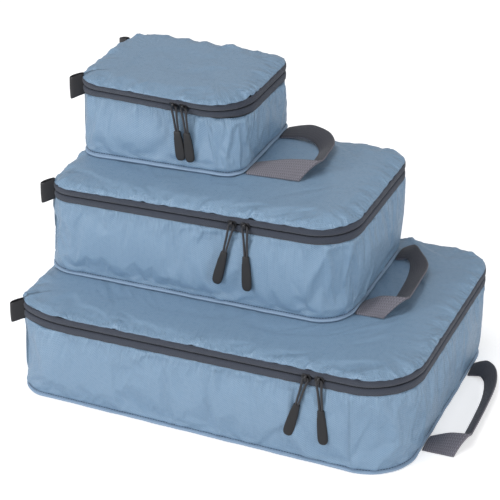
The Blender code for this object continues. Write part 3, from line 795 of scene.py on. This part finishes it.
def zipTape(cube, finishes, upper):
    # One woven tape: sewn edge, a slight bow, and the fold that turns in to the coil.
    parts, shares, places = (values[1:] for values in zipCourse(cube, zipLook["pitch"]))
    height = cube["height"]
    slot = height - cubeMake["zipBand"] / 2
    gap = zipLook["gap"]
    edge = height - (zipLook["underLid"] if upper else cubeMake["zipBand"])
    fold = slot + gap if upper else slot - gap
    share = np.linspace(0, 1, 9)[:, None]
    outward = zipLook["bow"] * np.sin(np.pi * np.clip(share * 1.02, 0, 1)) ** 0.7
    outward = outward - zipLook["foldIn"] * np.clip((share - 0.86) / 0.14, 0, 1) ** 2
    wave = zipLook["wave"] * np.sin(places * 310 + (2.0 if upper else 0.4)) * (1 - share)
    heights = edge + (fold - edge) * share
    if upper:
        # The sewn edge turns in under the lid cloth.
        heights = np.concatenate([heights[:1] - zipLook["underLid"], heights])
        outward = np.concatenate([outward[:1] - zipLook["tuck"], outward])
        wave = np.concatenate([wave[:1], wave])
    x, y = planPoint(cube, parts[None, :], shares[None, :], np.ones_like(heights), outward + wave)
    points = np.stack([x, y, np.broadcast_to(cube["low"][2] + heights, x.shape)], axis=-1)
    uv = np.stack(np.broadcast_arrays(places[None, :], heights), axis=-1)
    if upper:
        points, uv = points[::-1], uv[::-1]
    side = "upper" if upper else "lower"
    piece = shellPiece(cube["name"] + "_" + side + "TapeWeave", points, uv, False, zipLook["thick"],
                       finishes["tape"])
    return keep(cube, piece, "lid" if upper else "body", (side + "_tape",))


class NodeBuild:
    # One geometry node tree. add() works as a finish's does; ask() names an input of the modifier.
    def __init__(self, name):
        self.tree = bpy.data.node_groups.new(name, "GeometryNodeTree")
        face = self.tree.interface
        face.new_socket("Geometry", in_out="OUTPUT", socket_type="NodeSocketGeometry")
        face.new_socket("Geometry", in_out="INPUT", socket_type="NodeSocketGeometry")
        self.entry = self.tree.nodes.new("NodeGroupInput")
        self.names = {}

    def ask(self, label, kind, value):
        socket = self.tree.interface.new_socket(label, in_out="INPUT", socket_type="NodeSocket" + kind)
        socket.default_value = value
        self.names[label] = socket.identifier
        return self.entry.outputs[label]

    def add(self, kind, settings=None, values=None, out=0):
        node = self.tree.nodes.new(kind)
        for key, value in (settings or {}).items():
            setattr(node, key, value)
        for key, value in (values or {}).items():
            if isinstance(value, bpy.types.NodeSocket):
                self.tree.links.new(value, node.inputs[key])
            else:
                node.inputs[key].default_value = value
        return node.outputs[out]

    def close(self, geometry):
        exitNode = self.tree.nodes.new("NodeGroupOutput")
        self.tree.links.new(geometry, exitNode.inputs[0])
        return self


def rowTree():
    # Small rounded bars set out along a line: stitches, and the turns of a zipper coil.
    build = NodeBuild("barsAlongLine")
    pitch = build.ask("Pitch", "Float", 3 * mm)
    length = build.ask("Bar Length", "Float", 2.2 * mm)
    radius = build.ask("Bar Radius", "Float", 0.3 * mm)
    turn = build.ask("Turn", "Vector", (0.0, 0.0, 0.0))
    finish = build.ask("Finish", "Material", None)
    line = build.add("GeometryNodeMeshToCurve", None, {"Mesh": build.entry.outputs["Geometry"]})
    spaced = build.add("GeometryNodeResampleCurve", {"mode": "LENGTH"}, {"Curve": line, 3: pitch})
    points = build.add("GeometryNodeCurveToPoints", {"mode": "EVALUATED"}, {"Curve": spaced}, "Points")
    tangent = points.node.outputs["Tangent"]
    facing = build.add("FunctionNodeAxesToRotation", {"primary_axis": "X", "secondary_axis": "Z"},
                       {0: tangent, 1: (0.0, 0.0, 1.0)})
    turned = build.add("FunctionNodeRotateRotation", {"rotation_space": "LOCAL"}, {0: facing})
    spin = build.add("FunctionNodeEulerToRotation", None, {0: turn})
    build.tree.links.new(spin, turned.node.inputs[1])
    ball = build.add("GeometryNodeMeshUVSphere", None, {"Segments": 6, "Rings": 4, "Radius": 1.0})
    size = build.add("ShaderNodeCombineXYZ", None, {"Y": radius, "Z": radius})
    half = build.add("ShaderNodeMath", {"operation": "MULTIPLY"}, {0: length, 1: 0.5})
    build.tree.links.new(half, size.node.inputs["X"])
    placed = build.add("GeometryNodeInstanceOnPoints", None,
                       {"Points": points, "Instance": ball, "Rotation": turned, "Scale": size})
    real = build.add("GeometryNodeRealizeInstances", None, {0: placed})
    smooth = build.add("GeometryNodeSetShadeSmooth", None, {0: real})
    painted = build.add("GeometryNodeSetMaterial", None, {0: smooth, "Material": finish})
    return build.close(painted)


def barsAlong(name, build, points, closed, settings, finish):
    # Runs the tree on a bare line and turns the result into a plain mesh.
    mesh = bpy.data.meshes.new(name + "Line")
    edges = [(i, i + 1) for i in range(len(points) - 1)]
    if closed:
        edges.append((len(points) - 1, 0))
    mesh.from_pydata([tuple(p) for p in points], edges, [])
    line = linked(name + "Line", mesh)
    step = line.modifiers.new("bars", "NODES")
    step.node_group = build.tree
    for label, value in settings.items():
        step[build.names[label]] = value
    step[build.names["Finish"]] = finish
    graph = bpy.context.evaluated_depsgraph_get()
    baked = bpy.data.meshes.new_from_object(line.evaluated_get(graph), depsgraph=graph)
    line.modifiers.clear()
    bpy.data.objects.remove(line, do_unlink=True)
    baked.name = name
    if not baked.materials:
        baked.materials.append(finish)
    return linked(name, baked)


stitchLook = {
    "seam": {"Pitch": 3.0 * mm, "Bar Length": 2.5 * mm, "Bar Radius": 0.32 * mm, "Turn": (0.0, 0.0, 0.0)},
    "tape": {"Pitch": 2.6 * mm, "Bar Length": 2.1 * mm, "Bar Radius": 0.26 * mm, "Turn": (0.0, 0.0, 0.0)},
    "coil": {"Pitch": 1.35 * mm, "Bar Length": 2.3 * mm, "Bar Radius": 0.5 * mm,
             "Turn": (0.0, math.pi / 2, 0.0)},
}


def ringLine(cube, height, outward, onlyZip, pitch=2.5 * mm):
    parts, shares, _ = planColumns(cube, pitch)
    if onlyZip:
        parts, shares = parts[parts <= 6][1:], shares[parts <= 6][1:]
    x, y = planPoint(cube, parts, shares, height / cube["height"], outward)
    return np.stack([x, y, np.full(len(x), cube["low"][2] + height)], axis=-1)


def zipDetails(cube, build, finishes):
    name = cube["name"]
    height = cube["height"]
    slot = height - cubeMake["zipBand"] / 2
    tapes = (
        ("lower", "body", slot - zipLook["coilOff"], height - cubeMake["zipBand"] + zipLook["lowStitch"]),
        ("upper", "lid", slot + zipLook["coilOff"], height - zipLook["highStitch"]),
    )
    # The two rows of coil behind the tapes.
    for side, body, level, _ in tapes:
        line = ringLine(cube, height, -zipLook["coilIn"], True)
        line[:, 2] = cube["low"][2] + level
        piece = barsAlong(f"{name}_{side}CoilTurns", build, line, False, stitchLook["coil"],
                          finishes["coil"])
        keep(cube, piece, body, (side + "_coil",))
    # A line of stitching along each tape's sewn edge.
    for side, body, _, level in tapes:
        line = ringLine(cube, height, zipLook["stitchOut"], True)
        line[:, 2] = cube["low"][2] + level
        piece = barsAlong(f"{name}_{side}TapeStitches", build, line, False, stitchLook["tape"],
                          finishes["tapeThread"])
        keep(cube, piece, body)


# The binding's outline is side and up in millimetres: a rounded ridge, flat below, pinched above.
seamLook = {
    "profile": ((-2.9, 0.35), (-1.4, 0.15), (0.0, 0.1), (1.1, 0.3), (1.6, 0.8), (1.65, 1.4), (1.2, 2.0),
                (0.4, 2.4), (-0.5, 2.7), (-1.3, 3.3), (-2.0, 3.7), (-2.9, 2.8)),
    "pitch": 2.5 * mm, "inward": 2.0 * mm, "wobble": (0.25 * mm, 0.15 * mm),
    "panelGrid": 6 * mm, "panelOut": 1.0 * mm, "panelUp": 0.5 * mm, "panelThick": 0.8 * mm,
    "ripple": 0.12 * mm,
    "stitchOut": 0.95 * mm, "stitchUp": 4.3 * mm,
}


def bottomSeam(cube, build, finishes):
    # The base panel, the folded binding round it, and the stitches above the binding.
    name = cube["name"]
    base = cube["low"][2]
    parts, shares, places = planColumns(cube, seamLook["pitch"])
    profile = seamLook["profile"]
    rows = []
    slow, quick = seamLook["wobble"]
    wobble = slow * np.sin(places * 90 + cube["seed"]) + quick * np.sin(places * 233)
    for side, up in profile:
        outward = cubeMake["lip"] - seamLook["inward"] + side * mm + wobble * (side > 0)
        x, y = planPoint(cube, parts, shares, 0.0, outward)
        rows.append(np.stack([x, y, np.full(len(x), base + up * mm)], axis=-1))
    points = np.stack(rows)
    count = len(profile)
    columns = points.shape[1]
    faces = [tuple(f) for f in gridQuads(count, columns, True)]
    last = (count - 1) * columns
    faces += [(last + i, last + (i + 1) % columns, (i + 1) % columns, i) for i in range(columns)]
    reach = np.cumsum([0] + [math.dist(a, b) * mm for a, b in zip(profile, profile[1:])])
    uv = np.stack(np.broadcast_arrays(places[None, :], reach[:, None]), axis=-1)
    binding = meshPiece(name + "_seamBinding", points.reshape(-1, 3), faces, uv.reshape(-1, 2))
    binding.data.materials.append(finishes["piping"])
    keep(cube, binding, "body", ("bottom_piping",))
    # The base panel itself, flat where it stands.
    grid = lidGrid(cube, seamLook["panelGrid"], 0.0, seamLook["panelOut"])
    ripple = seamLook["ripple"] * np.sin(grid[..., 0] * 95) * np.sin(grid[..., 1] * 120)
    flat = np.stack([grid[..., 0], grid[..., 1], base + seamLook["panelUp"] + ripple], axis=-1)
    panel = shellPiece(name + "_baseCloth", flat[:, ::-1], grid[:, ::-1], False, -seamLook["panelThick"],
                       finishes["baseNylon"], finishes["lining"])
    keep(cube, panel, "body", ("base_panel",))
    line = ringLine(cube, 0.0, seamLook["stitchOut"], False)
    line[:, 2] = base + seamLook["stitchUp"]
    stitches = barsAlong(name + "_seamStitches", build, line, True, stitchLook["seam"], finishes["thread"])
    keep(cube, stitches, "body")


tabLook = {"reach": 15.5 * mm, "tall": 24 * mm, "thick": 0.9 * mm, "sag": 4.5 * mm}


def cornerTab(cube, finishes, back):
    # A strip folded in two over the end of the zipper, open as a flat loop and sagging a little.
    name = cube["name"] + ("_back_tab" if back else "_front_tab")
    x, y = planPoint(cube, np.array([7 if back else 0]), np.array([0.0]), 0.9, 0.0)
    wayY = 1.0 if back else -1.0
    out = np.array([-0.88, wayY * 0.475, 0.0])
    across = np.array([-wayY * 0.475, -0.88, 0.0])
    middle = cube["slot"]
    foot = np.array([x[0], y[0], middle]) - out * 1.2 * mm
    reach, thick = tabLook["reach"], tabLook["thick"]
    # Half of the fold's plan, foot to tip, then mirrored.
    half = [(0.0, 1.5), (0.2, 1.35), (0.45, 1.7), (0.7, 2.0), (0.88, 1.7), (0.97, 1.0), (1.0, 0.0)]
    loop = [(a * reach, b * mm) for a, b in half] + [(a * reach, -b * mm) for a, b in half[-2::-1]]
    loop = np.array(loop)
    rows = np.linspace(-0.5, 0.5, 9)
    points, uv = [], []
    along = np.concatenate([[0], np.cumsum(np.linalg.norm(np.diff(loop, axis=0), axis=1))])
    for level in rows:
        flare = 1 + 0.25 * abs(level)
        drop = -tabLook["sag"] * (loop[:, 0] / reach) ** 1.5
        row = (foot + loop[:, :1] * out * (1 - 0.05 * abs(level)) + loop[:, 1:] * flare * across)
        row[:, 2] += level * tabLook["tall"] + drop
        points.append(row)
        uv.append(np.stack([along, np.full(len(along), level * tabLook["tall"])], axis=-1))
    points, uv = np.stack(points), np.stack(uv)
    piece = shellPiece(name + "Fold", points, uv, False, thick, finishes["tab"])
    soften(piece, 1)
    keep(cube, piece, "body", ("back_tab" if back else "front_tab",))


def soften(piece, levels):
    step = piece.modifiers.new("smooth", "SUBSURF")
    step.levels = levels
    step.render_levels = levels
    return piece


def ringFrames(course, front):
    # Side and up vectors along a course whose bends lie mostly in one plane.
    course = np.asarray(course, float)
    tangent = np.gradient(course, axis=0)
    tangent /= np.linalg.norm(tangent, axis=1, keepdims=True)
    side = np.cross(tangent, front)
    side /= np.linalg.norm(side, axis=1, keepdims=True)
    up = np.cross(side, tangent)
    return list(zip(side, up))


def smoothLine(points, count):
    # A Catmull-Rom line through the points, at even shares.
    points = np.asarray(points, float)
    padded = np.concatenate([[2 * points[0] - points[1]], points, [2 * points[-1] - points[-2]]])
    at = np.linspace(0, len(points) - 1, count)
    base = np.minimum(at.astype(int), len(points) - 2)
    t = (at - base)[:, None]
    p0, p1, p2, p3 = (padded[base + i] for i in range(4))
    return 0.5 * (2 * p1 + (p2 - p0) * t + (2 * p0 - 5 * p1 + 4 * p2 - p3) * t ** 2
                  + (3 * p1 - p0 - 3 * p2 + p3) * t ** 3)


def circleProfile(radius, count):
    angle = np.linspace(0, 2 * math.pi, count, endpoint=False)
    return np.stack([np.cos(angle), np.sin(angle)], axis=-1) * radius


sliderLook = {"long": 10.0 * mm, "tall": 9.0 * mm, "plate": 1.3 * mm, "bridge": 2.8 * mm}


def zipSlider(cube, side, finishes):
    # Front plate with turned-in flanges, a raised bridge for the cord, neck and back plate.
    name = f"{cube['name']}_slider_{side}"
    low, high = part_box(name)
    centre = (low + high) / 2
    face = cube["low"][1] - 0.35 * mm
    slot = cube["slot"]
    shape = bmesh.new()

    def block(x0, x1, y0, y1, z0, z1, taper=1.0):
        made = bmesh.ops.create_cube(shape, size=1.0)["verts"]
        for v in made:
            v.co.x = centre.x + (x0 + x1) / 2 + v.co.x * (x1 - x0) * (taper if v.co.z > 0 else 1.0)
            v.co.y = (y0 + y1) / 2 + v.co.y * (y1 - y0)
            v.co.z = slot + (z0 + z1) / 2 + v.co.z * (z1 - z0)
        return made

    half, tall, plate = sliderLook["long"] / 2, sliderLook["tall"] / 2, sliderLook["plate"]
    block(-half, half, face - plate, face - 0.1 * mm, -tall * 0.62, tall * 0.62)
    block(-half * 0.72, half * 0.72, face - plate, face - 0.1 * mm, -tall, tall)
    block(-half * 0.8, half * 0.8, face - plate - 0.35 * mm, face - plate * 0.4, tall * 0.55, tall * 0.95)
    block(-half * 0.8, half * 0.8, face - plate - 0.35 * mm, face - plate * 0.4, -tall * 0.95, -tall * 0.55)
    back = high.y
    block(-2 * mm, 2 * mm, face - 0.5 * mm, back - 0.3 * mm, -0.3 * mm, 0.3 * mm)
    block(-half * 0.88, half * 0.88, back - 1.15 * mm, back, -tall, 0.4 * mm)
    bmesh.ops.bevel(shape, geom=list(shape.edges), offset=0.28 * mm, segments=2, profile=0.6, affect="EDGES",
                    clamp_overlap=True)
    body = bpy.data.meshes.new(name + "Body")
    shape.to_mesh(body)
    shape.free()
    piece = linked(name + "Body", body)
    body.polygons.foreach_set("use_smooth", [True] * len(body.polygons))
    body.materials.append(finishes["metal"])
    step = piece.modifiers.new("evenShade", "WEIGHTED_NORMAL")
    step.keep_sharp = True
    keep(cube, piece, "slider_" + side, ("slider_" + side,))
    # The bridge: a flat band that stands off the plate, over the cord.
    out = low.y
    course = smoothLine([
        (centre.x, face - plate + 0.2 * mm, slot - tall * 0.82),
        (centre.x, face - plate - 1.0 * mm, slot - tall * 0.86),
        (centre.x, out + 0.75 * mm, slot - tall * 0.58),
        (centre.x, out + 0.6 * mm, slot),
        (centre.x, out + 0.75 * mm, slot + tall * 0.58),
        (centre.x, face - plate - 1.0 * mm, slot + tall * 0.86),
        (centre.x, face - plate + 0.2 * mm, slot + tall * 0.82),
    ], 21)
    frames = ringFrames(course, np.array([1.0, 0.0, 0.0]))
    wide, thin = sliderLook["bridge"] / 2, 0.5 * mm
    corners = ((-1, -0.8), (-0.6, -1), (0.6, -1), (1, -0.8), (1, 0.8), (0.6, 1), (-0.6, 1), (-1, 0.8))
    profile = [(across * thin, up * wide) for across, up in corners]
    bridge = sweepPiece(name + "Bridge", course, frames, profile, finishes["metal"])
    keep(cube, bridge, "slider_" + side)


# Each station of the grip is its share of the length and its share of the half width and depth.
pullLook = {
    "forward": 0.045, "spread": 2.5 * mm, "cordRadius": 1.2 * mm, "half": 5.5 * mm, "deep": 1.8 * mm,
    "stations": (
        (-0.005, 0.44, 0.80), (0.0, 0.60, 0.98), (0.02, 0.66, 1.04), (0.12, 0.70, 1.06), (0.20, 0.74, 1.04),
        (0.225, 0.82, 1.0), (0.25, 0.84, 0.98), (0.45, 0.92, 0.90), (0.62, 0.98, 0.86), (0.78, 1.0, 0.86),
        (0.87, 0.97, 0.86), (0.925, 0.88, 0.86), (0.965, 0.70, 0.84), (0.99, 0.44, 0.72), (1.0, 0.14, 0.45),
    ),
}


def leanFrame(cube, side):
    # The pull's turning point and its down and across directions.
    index = 0 if side == "left" else 1
    cordLow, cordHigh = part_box(f"{cube['name']}_pull_cord_{side}")
    x = cube["low"][0] + cube["sliderX"][index]
    lean = math.radians(cube["tilt"][index])
    slot = cube["slot"]
    pivot = np.array([x, (cordLow.y + cordHigh.y) / 2, slot])
    down = np.array([math.sin(lean), -pullLook["forward"], -math.cos(lean)])
    down /= np.linalg.norm(down)
    across = np.array([math.cos(lean), 0.0, math.sin(lean)])
    return pivot, down, across


def pullCord(cube, side, finishes):
    name = f"{cube['name']}_pull_cord_{side}"
    pivot, down, across = leanFrame(cube, side)
    spread, long = pullLook["spread"], cube["cord"]
    # One leg of the loop, from its end in the grip to the bridge: distances down and across.
    leg = ((long + 1.5 * mm, 1.1 * mm), (long * 0.78, 1.5 * mm), (long * 0.45, spread * 0.72),
           (4.4 * mm, spread), (1.4 * mm, spread * 0.97), (0.0, spread * 0.6))
    course = smoothLine([pivot + down * fall - across * off for fall, off in leg]
                        + [pivot + down * fall + across * off for fall, off in leg[::-1]], 67)
    frames = ringFrames(course, np.array([0.0, 1.0, 0.0]))
    profile = circleProfile(pullLook["cordRadius"], 12)
    piece = sweepPiece(name + "Braid", course, frames, profile, finishes["cord"])
    keep(cube, piece, "pull_" + side, ("pull_cord_" + side,), pivot)


def pullGrip(cube, side, finishes):
    # A moulded bar: a square sleeve round the cord ends, then a flat tongue with a round tip.
    name = f"{cube['name']}_pull_grip_{side}"
    pivot, down, across = leanFrame(cube, side)
    front = np.array([0.0, 1.0, 0.0])
    half, deep = pullLook["half"], pullLook["deep"]
    course, frames = [], []
    for share, wide, thick in pullLook["stations"]:
        course.append(pivot + down * (cube["cord"] - 1 * mm + cube["grip"] * 1.05 * share))
        frames.append((across, front, (wide, thick)))
    corner = []
    for step in range(24):
        angle = 2 * math.pi * (step + 0.5) / 24
        c, s = math.cos(angle), math.sin(angle)
        corner.append((half * math.copysign(abs(c) ** 0.35, c), deep * math.copysign(abs(s) ** 0.55, s)))
    piece = sweepPiece(name + "Tongue", course, frames, corner, finishes["rubber"])
    soften(piece, 1)
    keep(cube, piece, "pull_" + side, ("pull_grip_" + side,), pivot)


def sideLabel(cube, finishes):
    name = cube["name"] + "_side_label"
    low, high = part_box(name)
    rows = np.linspace(0, 1, 12)[:, None]
    columns = np.linspace(0, 1, 17)[None, :]
    y = high.y + (low.y - high.y) * columns + 0 * rows
    z = low.z + (high.z - low.z) * rows + 0.5 * mm * np.sin(columns * 9) * (1 - rows)
    x = low.x - 0.9 * mm * np.sin(rows * math.pi) - 0.5 * mm * np.sin(columns * 7 + 1) * (1 - rows)
    points = np.stack([x, y, z], axis=-1)
    uv = np.stack([y, z], axis=-1)
    piece = shellPiece(name + "Weave", points, uv, False, 0.7 * mm, finishes["label"])
    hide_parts(name)
    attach(piece, cube["name"] + "_body")


strapLook = {"wide": 26 * mm, "thick": 1.7 * mm, "foldAt": 3, "columns": 13, "curl": 0.9 * mm}


def strapEdges(cube):
    # The strap's two edges, from its front foot, out, over the folded corner and back in.
    reach, span, wide = cube["handleReach"], cube["handleSpan"], strapLook["wide"]
    spare = cube["strapOut"]
    pairs = (
        ((0, 0, 0), (0, wide, 0)),
        ((0.30 * reach, 0, 0), (0.30 * reach, 0.97 * wide, 5 * mm)),
        ((0.65 * reach, 0, 0), (0.72 * reach, 0.90 * wide, 11.5 * mm)),
        ((reach, 0, 0), (reach + spare, 0.85 * wide, 15.5 * mm)),
        ((reach - 0.5 * mm, 0.45 * wide, 0), (reach + spare + 0.5 * mm, 0.85 * wide + 7 * mm, 12.5 * mm)),
        ((reach - 1 * mm, 1.3 * wide, 0), (reach + spare + 0.5 * mm, 1.3 * wide, 11 * mm)),
        ((reach - 2 * mm, 0.52 * span, 0), (reach + spare - 1 * mm, 0.56 * span, 10 * mm)),
        ((reach - 4 * mm, 0.74 * span, 1 * mm), (reach + spare - 4 * mm, 0.86 * span, 10 * mm)),
        ((0.78 * reach - 2 * mm, 0.90 * span, 3 * mm), (0.98 * reach - 2 * mm, span + 6 * mm, 11 * mm)),
        ((0.55 * reach - 2 * mm, 0.975 * span, 4 * mm), (0.56 * reach, span + 19 * mm, 10 * mm)),
        ((0.27 * reach, 0.998 * span, 2 * mm), (0.27 * reach, span + 0.96 * wide, 5 * mm)),
        ((0, span, 0), (0, span + wide, 0)),
    )
    foot = cube["low"] + np.array([cube["width"] - cube["insets"][1] + cubeMake["lip"] + 0.3 * mm,
                                   cube["handleY"], 1.15 * mm])
    return foot + np.array(pairs)


def handleStrap(cube, finishes):
    # Flat webbing that leaves the base seam and turns over at a folded corner; its other face, seen past the
    # fold, is a darker copy of the webbing: painted shade.
    pairs = strapEdges(cube)
    fold = strapLook["foldAt"]
    legs = []
    for stations in (pairs[:fold + 1], pairs[fold:]):
        count = 9 * (len(stations) - 1) + 1
        edges = [smoothLine(stations[:, edge], count) for edge in (1, 0)]
        legs.append(np.stack(edges, axis=1))
    share = np.linspace(0, 1, strapLook["columns"])[None, :, None]
    sheets, normals = [], []
    for leg in legs:
        sheet = leg[:, :1] * (1 - share) + leg[:, 1:] * share
        normal = gridNormals(sheet, False)
        sheet = sheet - normal * strapLook["curl"] * (2 * share - 1) ** 2 * np.sign(normal[..., 2:].mean())
        sheets.append(sheet)
        normals.append(normal)
    middle = (normals[0][-1:] + normals[1][:1]) / 2
    points = np.concatenate([sheets[0], sheets[1][1:]])
    normal = np.concatenate([normals[0][:-1], middle, normals[1][1:]])
    steps = np.linalg.norm(np.diff(points[:, strapLook["columns"] // 2], axis=0), axis=1)
    along = np.concatenate([[0], np.cumsum(steps)])
    uv = np.stack(np.broadcast_arrays(along[:, None], share[..., 0] * strapLook["wide"]), axis=-1)
    piece = shellPiece(cube["name"] + "_handleWeave", points + normal * strapLook["thick"] / 2, uv, False,
                       strapLook["thick"], finishes["web"], finishes["webShade"], normal)
    keep(cube, piece, "handle", ("handle",))


def studioSet():
    scene = bpy.context.scene
    scene.view_settings.view_transform = "Standard"
    cameraData = bpy.data.cameras.new("studioCamera")
    cameraData.lens = studio["lens"]
    cameraData.sensor_width = 36
    camera = linked("studioCamera", cameraData)
    camera.location = studio["eye"]
    azimuth, elevation = math.radians(studio["azimuth"]), math.radians(studio["elevation"])
    back = Vector((math.sin(azimuth) * math.cos(elevation), -math.cos(azimuth) * math.cos(elevation),
                   math.sin(elevation)))
    camera.rotation_euler = back.to_track_quat("Z", "Y").to_euler()
    scene.camera = camera
    # A pale floor, white to the camera but still taking the stack's shadow.
    floorMesh = bpy.data.meshes.new("studioFloor")
    reach, level = studio["floorReach"], studio["floorLevel"]
    floorMesh.from_pydata([(x * reach, y * reach, level) for x, y in ((-1, -1), (1, -1), (1, 1), (-1, 1))],
                          [], [(0, 1, 2, 3)])
    linked("studioFloor", floorMesh)
    ground = Finish("paleFloor", Base_Color=(0.86, 0.86, 0.87), Roughness=0.9, Specular_IOR_Level=0.0)
    rays = ground.add("ShaderNodeLightPath", out="Is Camera Ray")
    ground.finish(Emission_Color=ground.mix(rays, (0.0, 0.0, 0.0), (1.0, 1.0, 1.0)),
                  Emission_Strength=studio["floorGlow"])
    floorMesh.materials.append(ground.material)
    world = bpy.data.worlds.new("studioWorld")
    scene.world = world
    world.use_nodes = True
    tree = world.node_tree
    ambient, white = tree.nodes["Background"], tree.nodes.new("ShaderNodeBackground")
    for node, strength in ((ambient, studio["ambient"]), (white, 1.0)):
        node.inputs["Color"].default_value = (1.0, 1.0, 1.0, 1.0)
        node.inputs["Strength"].default_value = strength
    path = tree.nodes.new("ShaderNodeLightPath")
    blend = tree.nodes.new("ShaderNodeMixShader")
    tree.links.new(path.outputs["Is Camera Ray"], blend.inputs[0])
    tree.links.new(ambient.outputs[0], blend.inputs[1])
    tree.links.new(white.outputs[0], blend.inputs[2])
    tree.links.new(blend.outputs[0], tree.nodes["World Output"].inputs["Surface"])
    for name, place, size, power in studio["lamps"]:
        data = bpy.data.lights.new(name, "AREA")
        data.size = size
        data.energy = power
        lamp = linked(name, data)
        lamp.location = place
        back = Vector(place) - Vector((0, 0, studio["aim"]))
        lamp.rotation_euler = back.to_track_quat("Z", "Y").to_euler()


studioSet()
finishes = makeFinishes()
bars = rowTree()
for cube in cubeSizes.values():
    print("making the", cube["name"], "cube")
    wallCloth(cube, finishes)
    lidCloth(cube, finishes)
    zipTape(cube, finishes, False)
    zipTape(cube, finishes, True)
    zipDetails(cube, bars, finishes)
    bottomSeam(cube, bars, finishes)
    for back in (False, True):
        cornerTab(cube, finishes, back)
    for side in ("left", "right"):
        zipSlider(cube, side, finishes)
        pullCord(cube, side, finishes)
        pullGrip(cube, side, finishes)
    sideLabel(cube, finishes)
    handleStrap(cube, finishes)
